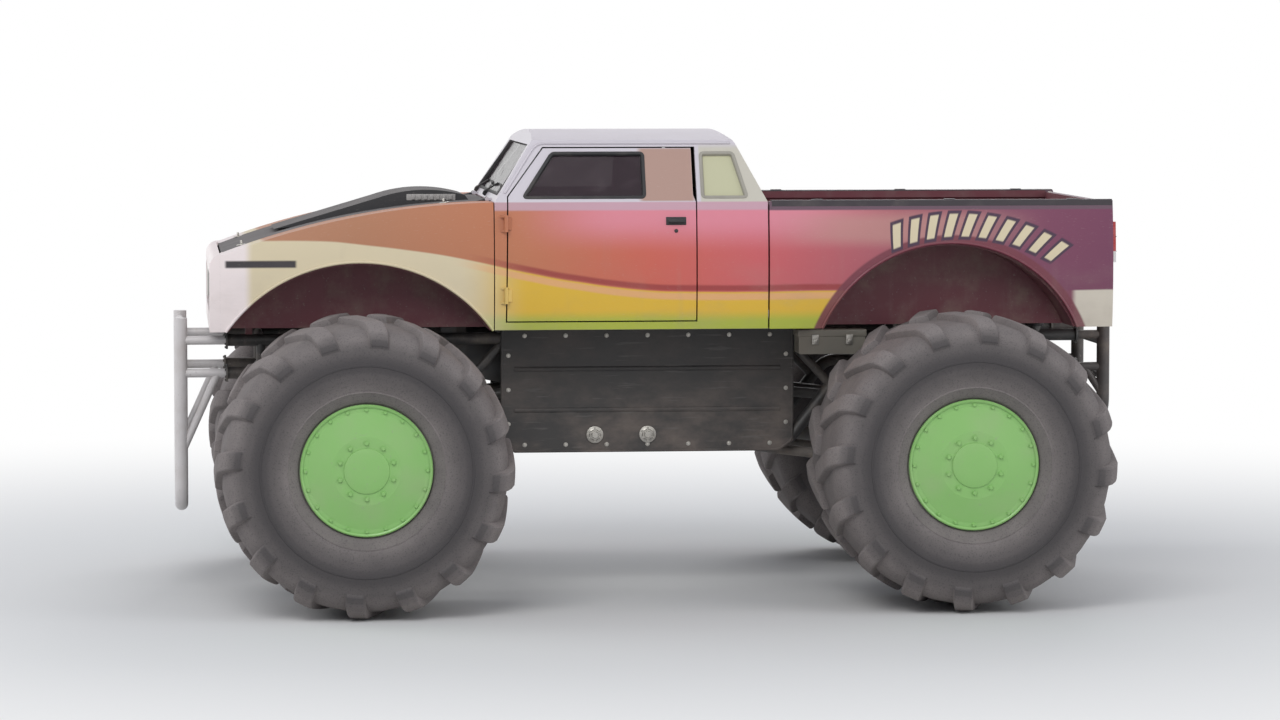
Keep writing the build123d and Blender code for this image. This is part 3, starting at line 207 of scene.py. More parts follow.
class Finish(Nodes):
    """A material under construction, with one Principled shader."""

    def __init__(self, name):
        self.material = bpy.data.materials.new(name)
        self.material.use_nodes = True
        super().__init__(self.material.node_tree)
        self.shader = self.tree.nodes["Principled BSDF"]
        self.place = self.node("ShaderNodeTexCoord", output="Object")
        self.x, self.y, self.z = (
            self.node("ShaderNodeSeparateXYZ", None, self.place, output=axis) for axis in "XYZ"
        )

    def mix(self, first, second, factor):
        """A colour between two others."""
        return self.node("ShaderNodeMix", {"data_type": "RGBA"}, factor, first, second)

    def noise(self, scale, detail=3.0, stretch=(1, 1, 1), rough=0.5):
        """Cloudy noise between nought and one on Object coordinates."""
        place = self.place
        if stretch != (1, 1, 1):
            place = self.node("ShaderNodeMapping", None, Vector=place, Scale=stretch)
        settings = {"Vector": place, "Scale": scale, "Detail": detail, "Roughness": rough}
        return self.node("ShaderNodeTexNoise", None, output="Fac", **settings)

    def ramp(self, value, stops):
        """A colour from a ramp of (place, colour) stops."""
        return self.node("ShaderNodeValToRGB", {"stops": stops}, value, output="Color")

    def bump(self, height, strength, distance):
        """Feeds the shader's Normal from a height."""
        settings = {"Strength": strength, "Distance": distance, "Height": height}
        self.set(Normal=self.node("ShaderNodeBump", None, output="Normal", **settings))

    def set(self, **sockets):
        """Values or links for the shader's own sockets."""
        for key, value in sockets.items():
            self.feed(self.shader.inputs[key.replace("_", " ")], value)


# Mesh helpers


def grid_faces(rows, columns, close_rows=False, close_columns=False):
    """Quads of a grid whose point (row, column) is number row * columns + column."""
    down = np.arange(rows if close_rows else rows - 1)
    along = np.arange(columns if close_columns else columns - 1)
    row, column = np.meshgrid(down, along, indexing="ij")
    next_row, next_column = (row + 1) % rows, (column + 1) % columns
    quads = [row * columns + column, row * columns + next_column]
    quads += [next_row * columns + next_column, next_row * columns + column]
    return np.stack(quads, axis=-1).reshape(-1, 4)


def outward(points, faces):
    """Turns the faces of a closed shape over where they enclose a negative volume.

    The volume is a sixth of the sum of a . (b x c) over each face's triangles.
    """
    a, b, c, d = (points[faces[:, k]] - points.mean(axis=0) for k in range(4))
    volume = np.sum(a * np.cross(b, c)) + np.sum(a * np.cross(c, d))
    return points, (faces if volume > 0 else faces[:, ::-1])


def make_piece(name, shapes, finish, body="chassis", crease=35):
    """Puts a shape, or a list of them, into a mesh, and the piece on its body."""
    points, faces = gather(shapes)
    mesh = bpy.data.meshes.new(name)
    mesh.from_pydata(points.tolist(), [], faces.tolist())
    shaper = bmesh.new()
    shaper.from_mesh(mesh)
    bmesh.ops.remove_doubles(shaper, verts=shaper.verts, dist=1e-6)
    shaper.to_mesh(mesh)
    shaper.free()
    mesh.polygons.foreach_set("use_smooth", np.ones(len(mesh.polygons), bool))
    mesh.set_sharp_from_angle(angle=radians(crease))
    mesh.materials.append(finishes[finish])
    mesh.update()
    piece = bpy.data.objects.new(name, mesh)
    bpy.context.scene.collection.objects.link(piece)
    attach(piece, body)
    return piece


def make_pair(name, shapes, finish, body="chassis"):
    """A piece whose shapes stand on the left side, with their mirror images on the right."""
    return make_piece(name, on_both_sides(gather(shapes)), finish, body)


def gather(shapes):
    """Joins a list of (points, faces) pairs into one pair; a single pair stays as it is."""
    if isinstance(shapes, tuple):
        return shapes
    counts = np.cumsum([0] + [len(points) for points, faces in shapes])
    points = np.concatenate([points for points, faces in shapes])
    return points, np.concatenate([faces + count for (_, faces), count in zip(shapes, counts)])


def moved(shape, by):
    """The same shape, further on."""
    return shape[0] + np.array(by), shape[1]


def copies(shape, places, turn=None):
    """One shape at many places: its points times a turning matrix, plus each place."""
    points, faces = shape
    if turn is not None:
        points = points @ turn.T
    places = np.asarray(places, float).reshape(-1, 1, 3)
    steps = np.arange(len(places))[:, None, None] * len(points)
    return (points + places).reshape(-1, 3), (faces + steps).reshape(-1, faces.shape[1])


def mirrored(shape, axis=1):
    """The same shape on the other side of the plane through the origin square to an axis."""
    points, faces = shape
    flip = np.ones(3)
    flip[axis] = -1
    return points * flip, faces[:, ::-1]


def on_both_sides(shape, axis=1):
    """A shape and its mirror image."""
    return gather([shape, mirrored(shape, axis)])


def for_side(shape, side):
    """A shape made for the left side, mirrored where the right side needs it."""
    return shape if side > 0 else mirrored(shape)


def run_of(x, y, z):
    """Points whose places are given axis by axis, as numbers or as arrays."""
    return np.stack(np.broadcast_arrays(x, y, z), axis=-1)


def turned_to(direction):
    """Rotation matrix that takes +Y to a direction."""
    ahead = np.array(direction, float) / np.linalg.norm(direction)
    guide = np.array([0.0, 0.0, 1.0]) if abs(ahead[2]) < 0.9 else np.array([1.0, 0.0, 0.0])
    side = np.cross(ahead, guide)
    side /= np.linalg.norm(side)
    return np.stack([side, ahead, np.cross(side, ahead)], axis=1)


def lathe(profile, sides, at=(0, 0, 0), along=(0, 1, 0)):
    """Closed loop of (across, radius) points turned about an axis.

    Before it is turned to its axis, a point is (r sin t, across, r cos t).
    """
    across, radius = np.array(profile, float).T
    turn = np.linspace(0, 2 * pi, sides, endpoint=False)
    x = radius[:, None] * np.sin(turn)
    z = radius[:, None] * np.cos(turn)
    y = np.broadcast_to(across[:, None], x.shape)
    points = np.stack([x, y, z], axis=-1).reshape(-1, 3) @ turned_to(along).T + np.array(at)
    return outward(points, grid_faces(len(profile), sides, True, True))


def boss(radius, height, edge, sides=24, at=(0, 0, 0), along=leftward):
    """Round boss with an eased edge, standing along an axis from its seat."""
    rows = [(0.0, 0.0), (0.0, radius), (height - edge, radius)]
    rows += [(height - 0.3 * edge, radius - 0.3 * edge), (height, radius - edge), (height, 0.0)]
    return lathe(rows, sides, at, along)


def skinned(rings, closed=False):
    """Faces between rings of points; the ends of an open row of rings are drawn in to their middle."""
    if not closed:
        first, last = (np.repeat(rings[k].mean(axis=0)[None, None], rings.shape[1], 1) for k in (0, -1))
        rings = np.concatenate([first, rings, last])
    return outward(rings.reshape(-1, 3), grid_faces(len(rings), rings.shape[1], closed, True))


def carried(path, profile, normals, closed=False):
    """Closed loop of (across, up) points carried along a path.

    A point is path + across * side + up * normal, with side = normal x ahead.
    """
    path, profile = np.asarray(path, float), np.asarray(profile, float)
    normals = np.broadcast_to(np.asarray(normals, float), path.shape)
    if closed:
        ahead = np.roll(path, -1, axis=0) - np.roll(path, 1, axis=0)
    else:
        ahead = np.gradient(path, axis=0)
    ahead = ahead / np.linalg.norm(ahead, axis=1, keepdims=True)
    up = normals - np.sum(normals * ahead, axis=1, keepdims=True) * ahead
    up /= np.linalg.norm(up, axis=1, keepdims=True)
    side = np.cross(up, ahead)
    rings = path[:, None] + profile[None, :, :1] * side[:, None] + profile[None, :, 1:] * up[:, None]
    return skinned(rings, closed)


def strip(surface, profile):
    """A profile carried along points on a surface, from the surface's points and normals."""
    return carried(surface[0], profile, surface[1])


def bead(*half, top=None):
    """Profile that is alike on both sides of its middle, from its half as (across, up) points."""
    crest = [] if top is None else [(0, top)]
    return [(-across, up) for across, up in half] + crest + list(half[::-1])


def round_bar(radius, sides):
    """Circle as a loop of (across, up) points."""
    turn = np.linspace(0, 2 * pi, sides, endpoint=False)
    return radius * np.stack([np.cos(turn), np.sin(turn)], axis=1)


def tube(path, radius, sides=8):
    """Round bar along a path of points."""
    run = np.abs(np.asarray(path[-1], float) - np.asarray(path[0], float))
    guide = np.eye(3)[np.argmin(run)]
    return carried(path, round_bar(radius, sides), guide)


def rounded(corners, radius, closed=True, steps=6):
    """Polyline whose corners are quadratic curves between points a radius from each corner."""
    corners = np.asarray(corners, float)
    to_last, to_next = np.roll(corners, 1, 0) - corners, np.roll(corners, -1, 0) - corners
    start = corners + radius * to_last / np.linalg.norm(to_last, axis=1, keepdims=True)
    end = corners + radius * to_next / np.linalg.norm(to_next, axis=1, keepdims=True)
    t = np.linspace(0, 1, steps)[None, :, None]
    curves = (1 - t) ** 2 * start[:, None] + 2 * t * (1 - t) * corners[:, None] + t**2 * end[:, None]
    if closed:
        return curves.reshape(-1, corners.shape[1])
    middle = curves[1:-1].reshape(-1, corners.shape[1])
    return np.concatenate([corners[:1], middle, corners[-1:]])


def dense(loop, step):
    """Points added to a closed loop so that no run is longer than a step."""
    runs = []
    for a, b in zip(loop, np.roll(loop, -1, axis=0)):
        count = int(np.ceil(np.linalg.norm(b - a) / step)) or 1
        runs.append(a + (b - a) * np.linspace(0, 1, count, endpoint=False)[:, None])
    return np.concatenate(runs)


def rounded_box(half_wide, half_tall, radius):
    """Rounded rectangle about the origin, as a loop of points."""
    right = [(half_wide, -half_tall), (half_wide, half_tall)]
    left = [(-half_wide, half_tall), (-half_wide, -half_tall)]
    return rounded(right + left, radius)


def stacked(outline, scales, lifts):
    """Rings of one outline about the origin, at (scale * p, scale * q, lift).

    The first and the last scale are nought, which closes the shape.
    """
    scales, lifts = (np.asarray(v, float)[:, None] for v in (scales, lifts))
    rings = run_of(scales * outline[:, 0], scales * outline[:, 1], lifts)
    return outward(rings.reshape(-1, 3), grid_faces(len(scales), len(outline), False, True))


def slab(low, high, edge):
    """Box with rounded edges.

    At angle p of its edge a ring stands edge * (1 - cos p) inside the end face, and its outline
    is the inner rectangle grown by edge * sin p.
    """
    low, high = np.array(low, float), np.array(high, float)
    half = (high - low) / 2 - edge
    turn = (np.arange(16) + 0.5) * pi / 8
    around = np.stack([np.cos(turn), np.sin(turn)], axis=1)
    bend = np.linspace(0, pi / 2, 4)
    lift = half[2] + edge * np.cos(bend)
    rings = half[:2] * np.sign(around) + edge * np.sin(bend)[:, None, None] * around
    middle = np.zeros((1, 16, 2))
    plan = np.concatenate([middle, rings, rings[::-1], middle])
    height = np.concatenate([-lift[:1], -lift, lift[::-1], lift[:1]])
    points = np.concatenate([plan, np.broadcast_to(height[:, None, None], plan.shape[:2] + (1,))], axis=-1)
    points = points.reshape(-1, 3) + (low + high) / 2
    return outward(points, grid_faces(10, 16, False, True))


def bolt_shape(radius, height):
    """Hexagon head on a washer, standing along +Y from its seat at nought.

    A ring stands at its share of the height. Above the washer every second point of its twelve
    is drawn in by cos(30 degrees).
    """
    rings = [(0.0, 0.0), (0.0, 1.35), (0.18, 1.35), (0.18, 0.95), (0.88, 0.95), (1.0, 0.8), (1.0, 0.0)]
    washer_top = 0.1
    turn = np.arange(12) * pi / 6
    tall, wide = np.array(rings).T[:, :, None]
    hexagon = np.where(np.arange(12) % 2, cos(pi / 6), 1.0)
    reach = radius * wide * np.where(tall > washer_top, hexagon, 1.0)
    points = run_of(reach * np.sin(turn), height * tall, reach * np.cos(turn))
    return outward(points.reshape(-1, 3), grid_faces(len(rings), 12, False, True))


def bolts_at(places, direction, radius, height):
    """Bolts that stand along one direction."""
    return copies(bolt_shape(radius, height), places, turned_to(direction))


def ring_places(count, radius, at, along, start=0.0):
    """Points evenly round a circle about an axis."""
    turn = start + np.arange(count) * 2 * pi / count
    return run_of(radius * np.sin(turn), 0, radius * np.cos(turn)) @ turned_to(along).T + np.array(at)


def bolt_ring(count, ring, at, along, radius, height, start=0.0):
    """Bolts evenly round a circle about an axis."""
    return bolts_at(ring_places(count, ring, at, along, start), along, radius, height)


# The body's surfaces, as the frame's source draws them


def circle_through(a, b, c):
    """Centre and radius of the circle through three points."""
    a, b, c = (np.array(p, float) for p in (a, b, c))
    centre = np.linalg.solve(2 * np.array([b - a, c - a]), [b @ b - a @ a, c @ c - a @ a])
    return centre.tolist(), float(np.linalg.norm(a - centre))


def arch_circle(centre_x, half, top_z):
    """The circle through both sill corners and the crown of a wheel arch."""
    return circle_through((centre_x - half, sill_z), (centre_x, top_z), (centre_x + half, sill_z))


side_centre, side_radius = circle_through((0.930, sill_z), (0.950, 1.900), (0.915, belt_z))
clip_centre, clip_radius = circle_through((2.470, 2.000), (1.750, 2.205), (0.870, belt_z))
roof_centre, roof_radius = circle_through((0.745, 2.640), (0.0, 2.690), (-0.745, 2.640))
pillar_lean = 0.17 / 0.35  # the side above the belt leans in by this much for each metre up
screen_lean = 0.27 / 0.40
back_lean = 0.17 / 0.33


def on_side(x, z, out=0.0, side=1):
    """Points on the body's side and the skin's normals there: an arc below the belt, a slant above."""
    x, z = np.broadcast_arrays(np.asarray(x, float), np.asarray(z, float))
    low = side_centre[0] + np.sqrt(side_radius**2 - (np.minimum(z, belt_z) - side_centre[1]) ** 2)
    y = low - pillar_lean * np.maximum(z - belt_z, 0)
    across = np.where(z > belt_z, 1.0, y - side_centre[0])
    up = np.where(z > belt_z, pillar_lean, z - side_centre[1])
    normal = run_of(0.0, across, up)
    normal /= np.linalg.norm(normal, axis=-1, keepdims=True)
    points = run_of(x, y, z) + np.asarray(out)[..., None] * normal
    flip = np.array([1, side, 1])
    return points * flip, normal * flip


def on_pane(y, z, out, foot_x, lean, facing):
    """Points on a plane that leans in above the belt, and its normal: (facing, 0, lean) made a unit."""
    y, z = np.broadcast_arrays(np.asarray(y, float), np.asarray(z, float))
    normal = np.array([facing, 0, lean]) / (1 + lean**2) ** 0.5
    points = run_of(foot_x - facing * lean * (z - belt_z), y, z) + np.asarray(out)[..., None] * normal
    return points, np.broadcast_to(normal, points.shape)


def on_screen(y, z, out=0.0):
    """Points on the windscreen's plane, and its normal."""
    return on_pane(y, z, out, cowl_x, screen_lean, 1)


def on_back(y, z, out=0.0):
    """Points on the rear window's plane, and its normal."""
    return on_pane(y, z, out, cab_rear_x, back_lean, -1)


def hood_height(x):
    """Height of the front clip's upper surface."""
    return clip_centre[1] + np.sqrt(clip_radius**2 - (np.asarray(x, float) - clip_centre[0]) ** 2)


def arch_path(centre_x, half, top_z):
    """Points (x, z) along a wheel arch."""
    centre, radius = arch_circle(centre_x, half, top_z)
    turn = np.linspace(-1, 1, 49) * np.arcsin(half / radius)
    return centre[0] + radius * np.sin(turn), centre[1] + radius * np.cos(turn)


def arch_flange(centre_x, half, top_z):
    """Bent sheet between a wheelhouse's rim and the skin.

    Rings of four corners follow the arch: at the rim and under the skin, both on the sheet's
    outer face and on its inner one.
    """
    rim_y, under_skin, gap, sheet = 0.884, 0.006, 0.0008, 0.003
    rows = []
    for shrink, order in ((gap, 1), (gap + sheet, -1)):
        skin = on_side(*arch_path(centre_x, half - shrink, top_z - shrink), -under_skin)[0]
        rows += [skin * (1, 0, 1) + (0, rim_y, 0), skin][::order]
    return skinned(np.stack(rows, axis=1))


def gasket(points, normals, profile):
    """Closed strip round an opening, whose profile's across axis points into the opening."""
    ahead = np.roll(points, -1, axis=0) - np.roll(points, 1, axis=0)
    inwards = np.sum(np.cross(normals, ahead) * (points.mean(axis=0) - points))
    if inwards < 0:
        points, normals = points[::-1], normals[::-1]
    return carried(points, profile, normals, closed=True)


# Sizes and colours a user may change


class TyreSizes(bpy.types.PropertyGroup):
    """Shape of the terra tyres."""

    crown: bpy.props.FloatProperty(
        name="Crown radius", description="Radius of the carcass at mid tread", default=0.8, unit="LENGTH"
    )
    lug_height: bpy.props.FloatProperty(
        name="Lug height", description="How far the lugs stand off the carcass", default=0.038, unit="LENGTH"
    )
    lugs: bpy.props.IntProperty(name="Lugs", description="Lugs on each half of a tyre", default=16)
    lean: bpy.props.FloatProperty(
        name="Lug lean", description="How far a lug runs round the tyre", default=0.174, unit="LENGTH"
    )


class TrimSizes(bpy.types.PropertyGroup):
    """Sizes of the small parts."""

    gasket: bpy.props.FloatProperty(
        name="Gasket width", description="Width of the window rubbers", default=0.011, unit="LENGTH"
    )
    lip: bpy.props.FloatProperty(
        name="Arch lip", description="Radius of the rolled edge round each arch", default=0.008, unit="LENGTH"
    )
    seat_crown: bpy.props.FloatProperty(
        name="Seat crown", description="How far a seat pad swells over its edge", default=0.020, unit="LENGTH"
    )


class PaintColours(bpy.types.PropertyGroup):
    """Colours of the body and the wheels."""

    wheel: bpy.props.FloatVectorProperty(
        name="Wheel", description="Wheel discs", default=(0.20, 0.47, 0.10), subtype="COLOR"
    )
    roof: bpy.props.FloatVectorProperty(
        name="Roof", description="Roof and pillars", default=(0.63, 0.59, 0.63), subtype="COLOR"
    )
    yellow: bpy.props.FloatVectorProperty(
        name="Sill band", description="Band along the sills", default=(0.74, 0.46, 0.035), subtype="COLOR"
    )
    lime: bpy.props.FloatVectorProperty(
        name="Sill edge", description="Below the sill band", default=(0.42, 0.47, 0.05), subtype="COLOR"
    )
    cream: bpy.props.FloatVectorProperty(
        name="Cream", description="Arch lips and slashes", default=(0.72, 0.62, 0.42), subtype="COLOR"
    )


class StudioSettings(bpy.types.PropertyGroup):
    """Camera and lamps."""

    distance: bpy.props.FloatProperty(
        name="Camera distance", description="From the truck's middle", default=27.0, unit="LENGTH"
    )
    lens: bpy.props.FloatProperty(name="Lens", description="Focal length", default=128.0, unit="CAMERA")
    turn: bpy.props.FloatProperty(
        name="Camera turn", description="Towards the nose from square on", default=radians(6), subtype="ANGLE"
    )
    lift: bpy.props.FloatProperty(
        name="Camera lift", description="Above the horizon", default=radians(4), subtype="ANGLE"
    )


def tyre_sizes():
    """The tyres' settings in the scene."""
    return bpy.context.scene.truck_tyres


def trim_sizes():
    """The small parts' settings in the scene."""
    return bpy.context.scene.truck_trim


def colours():
    """The paint settings in the scene."""
    return bpy.context.scene.truck_paint


# Finishes

finishes = {}
cab_lining = (0.075, 0.070, 0.072)
clip_lining = (0.072, 0.034, 0.038)
bed_lining = (0.150, 0.040, 0.052)
tail_x = -2.65  # where the bands start
body_length = 5.2
# the upper band's colours as (share of the length from the tail, colour)
band_stops = (
    (0.00, (0.16, 0.035, 0.085)),
    (0.12, (0.20, 0.05, 0.10)),
    (0.26, (0.40, 0.10, 0.13)),
    (0.40, (0.60, 0.11, 0.12)),
    (0.52, (0.60, 0.12, 0.08)),
    (0.66, (0.52, 0.18, 0.085)),
    (0.84, (0.45, 0.20, 0.105)),
    (1.00, (0.50, 0.25, 0.15)),
)
pink = (0.76, 0.27, 0.35)
pale_rose = (0.52, 0.27, 0.24)
dark_red = (0.30, 0.03, 0.03)
peach = (0.78, 0.40, 0.20)
plum = (0.20, 0.05, 0.09)
maroon = (0.17, 0.030, 0.050)
pale_corner = (0.66, 0.60, 0.50)
road_dust = (0.34, 0.28, 0.23)
# grey for upward faces: settled dust, and painted shade that darkens the pale roof and tops
top_dust_and_shade = (0.36, 0.32, 0.31)
grime_brown = (0.22, 0.18, 0.16)
bare_scuff = (0.60, 0.52, 0.46)


def stripes(f):
    """Bands that run along the body, worked out from length and height."""
    paint = colours()
    x, z = f.x, f.z
    wobble = (f.noise(1.3, 2.0) - 0.5) * 0.03
    height = z + wobble
    above = height - (1.775 + 0.30 * x.rise(-0.15, 2.0))
    band = f.ramp((x - tail_x) / body_length, band_stops)
    blush = height.rise(1.98, 2.2) * x.within(-1.1, 0.55, 0.35)
    band = f.mix(band, pink, blush * 0.8)
    # a lighter greyish-pink band high on the bed's front part
    rear_pale = x.within(-2.0, -0.85, 0.3) * height.within(2.05, 2.22, 0.05)
    band = f.mix(band, pale_rose, rear_pale * 0.7)
    low = f.mix(tuple(paint.yellow), tuple(paint.lime), height.fall(1.60, 1.68))
    low = f.mix(low, tuple(paint.cream), x.rise(0.72, 1.15))
    low = f.mix(low, plum, x.fall(-1.30, -1.20))
    low = f.mix(low, pale_corner, x.fall(-2.44, -2.40))
    shade = f.mix(band, low, above.fall(-0.006, 0.006))
    dark_line = above.within(0.006, 0.038, 0.008) * x.within(-1.3, 0.9, 0.25)
    shade = f.mix(shade, dark_red, dark_line * 0.85)
    light_line = above.within(-0.045, -0.008, 0.008) * x.rise(-1.30, -1.20) * x.fall(0.8, 1.2)
    shade = f.mix(shade, peach, light_line * 0.8)
    centre, radius = arch_circle(*rear_arch)
    from_arch = distance(x - centre[0], z - centre[1]) - radius
    return f.mix(shade, maroon, from_arch.fall(0.036, 0.052) * 0.95)


def distance(a, b):
    """Length of the way that goes a one way and b square to it."""
    return (a * a + b * b).root()


def slashes(f, under):
    """Row of slanted slashes with dark edges that follows the rear arch, on the bed's outer skin."""
    behind_axle, middle_z, reach = 0.05, 1.026, 1.115  # the circle the row follows
    slant, per_radian = 0.3, 10.5
    across = f.x + axle_x + behind_axle
    rise = f.z - middle_z
    lane = distance(across, rise) - reach
    number = (across.turn_from(rise) + slant * lane) * per_radian
    stroke = number.ridges(1)
    ends = number.within(-6, 4, 0.02) * f.z.rise(1.9, 1.95)
    row = lane.within(-0.055, 0.075, 0.006) * ends
    edge = lane.within(-0.075, 0.095, 0.006) * ends
    outside = f.y.size().rise(0.895, 0.897)
    shade = f.mix(under, (0.05, 0.02, 0.05), edge * stroke.fall(0.34, 0.38) * outside)
    return f.mix(shade, tuple(colours().cream), row * stroke.fall(0.20, 0.24) * outside)


def side_depth(f):
    """How far a point is inside the body's sides."""
    rise = f.z.least(belt_z) - side_centre[1]
    low = (side_radius**2 - rise * rise).most(0).root() + side_centre[0]
    return low - (f.z - belt_z).most(0) * pillar_lean - f.y.size()


def circle_depth(f, along, centre, radius):
    """How far a point is below an upper surface drawn as a circle over one axis."""
    run = along - centre[0]
    return (radius**2 - run * run).most(0).root() + centre[1] - f.z


def weathered_and_shaded(f, shade, inside, lining, sheen=0.32, coat=0.15):
    """Road dust low down, fine scuffs, a grey on upward faces that is partly settled dust and partly painted
    shade, and the lining's colour on the inside; feeds the shader.
    """
    dirt = f.noise(2.2, 6.0, (1, 1, 2), 0.6).rise(0.45, 0.8) * f.z.fall(1.6, 2.1)
    streaks = f.noise(9.0, 4.0, (1, 1, 0.12)).rise(0.58, 0.75) * f.z.fall(1.75, 2.3)
    outer_colour = f.mix(shade, road_dust, dirt * 0.32 + streaks * 0.10)
    scuff = f.noise(38.0, 4.0, (1, 1, 5)).rise(0.62, 0.74)
    outer_colour = f.mix(outer_colour, bare_scuff, scuff * 0.14)
    facing = f.node("ShaderNodeTexCoord", output="Normal")
    level = f.node("ShaderNodeSeparateXYZ", None, facing, output="Z").rise(0.5, 0.95)
    # upward faces are mixed towards grey: dust that settles there, and painted shade that darkens pale tops
    outer_colour = f.mix(outer_colour, top_dust_and_shade, level * (0.12 + 0.22 * f.noise(5.0, 5.0)))
    grime = f.noise(7.0, 5.0).rise(0.4, 0.8)
    dull = inside.most(level)
    f.set(Base_Color=f.mix(outer_colour, f.mix(lining, grime_brown, grime * 0.3), inside))
    f.set(Coat_Weight=coat * (1 - dull), Coat_Roughness=0.15)
    f.set(Roughness=sheen + dirt * 0.35 + scuff * 0.2 + dull * 0.4)
    f.bump(f.noise(3.0, 2.0) + inside * f.noise(160.0, 3.0) * 0.3, 0.12, 0.01)
    return f.material


def cab_finish():
    """Cab and doors: bands below the belt, white above it with one dusky pillar, dark lining inside."""
    f = Finish("cab_paint")
    x, z = f.x, f.z
    over_belt = (z - belt_z).most(0)
    belt = z.rise(2.236, 2.250) * x.within(-0.66, 0.95, 0.02)
    shade = f.mix(stripes(f), (0.55, 0.38, 0.45), belt * 0.8)
    pillar = x.within(-0.22, 0.09, 0.02) * z.rise(belt_z, belt_z + 0.01) * z.fall(2.585, 2.60)
    corner = x.fall(-0.262, -0.250) * z.fall(2.585, 2.625)
    top = f.mix(tuple(colours().roof), (0.56, 0.53, 0.42), corner * 0.8)
    top = f.mix(top, (0.43, 0.27, 0.22), pillar)
    shade = f.mix(shade, top, z.rise(belt_z - 0.004, belt_z + 0.004))
    front = cowl_x - over_belt * screen_lean - x
    back = x - cab_rear_x - over_belt * back_lean
    roof = circle_depth(f, f.y, roof_centre, roof_radius)
    depth = side_depth(f).least(front).least(back).least(roof).least(z - sill_z)
    under = z.fall(sill_z + 0.001, sill_z + 0.003)
    firewall = x.rise(0.922, 0.926) * z.fall(2.284, 2.288) * side_depth(f).rise(0.010, 0.014)
    return weathered_and_shaded(f, shade, depth.rise(0.026, 0.030).most(under).most(firewall), cab_lining)


def clip_finish(name, hood=False):
    """Fenders, nose and hood: bands, a pale nose with a dark slit, a black hood middle, dark inside."""
    f = Finish(name)
    x, z = f.x, f.z
    shade = f.mix(stripes(f), (0.90, 0.80, 0.78), x.rise(2.30, 2.36))
    slit = x.within(2.06, 2.46, 0.01) * z.within(1.925, 1.965, 0.006)
    shade = f.mix(shade, (0.03, 0.025, 0.03), slit)
    top = circle_depth(f, x, clip_centre, clip_radius)
    if hood:
        shade = f.mix(shade, (0.025, 0.025, 0.028), f.y.size().fall(0.60, 0.62))
        return weathered_and_shaded(f, shade, top.rise(0.013, 0.016), clip_lining, 0.48, 0.08)
    depth = side_depth(f).least(top).least(nose_x - x)
    return weathered_and_shaded(f, shade, depth.rise(0.013, 0.016), clip_lining)


def bed_finish():
    """Bedsides and tailgate: bands, slashes and a dark rail outside, dull maroon inside."""
    f = Finish("bed_paint")
    shade = f.mix(slashes(f, stripes(f)), (0.13, 0.07, 0.10), f.z.rise(2.235, 2.245))
    inner = side_depth(f).rise(0.040, 0.043) * f.x.rise(-2.6035, -2.6025)
    return weathered_and_shaded(f, shade, inner, bed_lining)


def painted(name, colour, rough=0.4, dirt=0.35, metal=0.0, dust=(0.33, 0.27, 0.22)):
    """Plain paint with dust in clouds, small chips and a slightly uneven coat."""
    f = Finish(name)
    cloud = f.noise(5.0, 5.0, rough=0.6).rise(0.42, 0.75)
    chips = f.noise(60.0, 3.0).rise(0.66, 0.72)
    runs = f.noise(14.0, 4.0, (1, 1, 0.15)).rise(0.55, 0.8)
    shade = f.mix(colour, dust, cloud * dirt + runs * dirt * 0.3)
    shade = f.mix(shade, (0.30, 0.27, 0.25), chips * 0.35)
    f.set(Base_Color=shade, Roughness=rough + cloud * 0.22, Metallic=metal)
    f.bump(f.noise(90.0, 3.0), 0.12, 0.002)
    return f.material


def skirt_finish():
    """Dull black sheet with pale dust settled along its lower edge and long rub marks."""
    f = Finish("skirt_paint")
    cloud = f.noise(3.0, 6.0, (1, 1, 1.6), 0.62)
    low = f.z.fall(0.84, 1.35)
    dust = (cloud.rise(0.35, 0.85) * (0.25 + 0.55 * low)).least(0.8)
    rubs = f.noise(26.0, 3.0, (0.15, 1, 2)).rise(0.60, 0.70)
    shade = f.mix((0.046, 0.043, 0.042), (0.26, 0.21, 0.18), dust)
    shade = f.mix(shade, (0.16, 0.15, 0.14), rubs * 0.4)
    f.set(Base_Color=shade, Roughness=0.5 + dust * 0.3)
    f.bump(f.noise(5.0, 2.0) + f.noise(90.0, 3.0) * 0.05, 0.25, 0.01)
    return f.material


def cast(name, colour, rough=0.6):
    """Sand-cast iron: grainy bump, oily stains and dust."""
    f = Finish(name)
    stain = f.noise(6.0, 6.0, rough=0.65).rise(0.4, 0.7)
    shade = f.mix(colour, (0.22, 0.18, 0.15), stain * 0.5)
    grain = f.noise(260.0, 2.0)
    f.set(Base_Color=shade, Roughness=rough + grain * 0.15, Metallic=0.3)
    f.bump(grain + f.noise(30.0, 3.0) * 0.6, 0.35, 0.003)
    return f.material


def bright(name, colour=(0.56, 0.55, 0.53), rough=0.28):
    """Turned steel with fine marks along it and light dust."""
    f = Finish(name)
    marks = f.noise(140.0, 2.0, (1, 0.06, 1))
    dust = f.noise(7.0, 5.0).rise(0.5, 0.8)
    shade = f.mix(f.mix(colour, (0.40, 0.39, 0.38), marks * 0.5), (0.36, 0.31, 0.27), dust * 0.4)
    f.set(Base_Color=shade, Roughness=rough + dust * 0.35, Metallic=0.85)
    f.bump(marks, 0.15, 0.001)
    return f.material


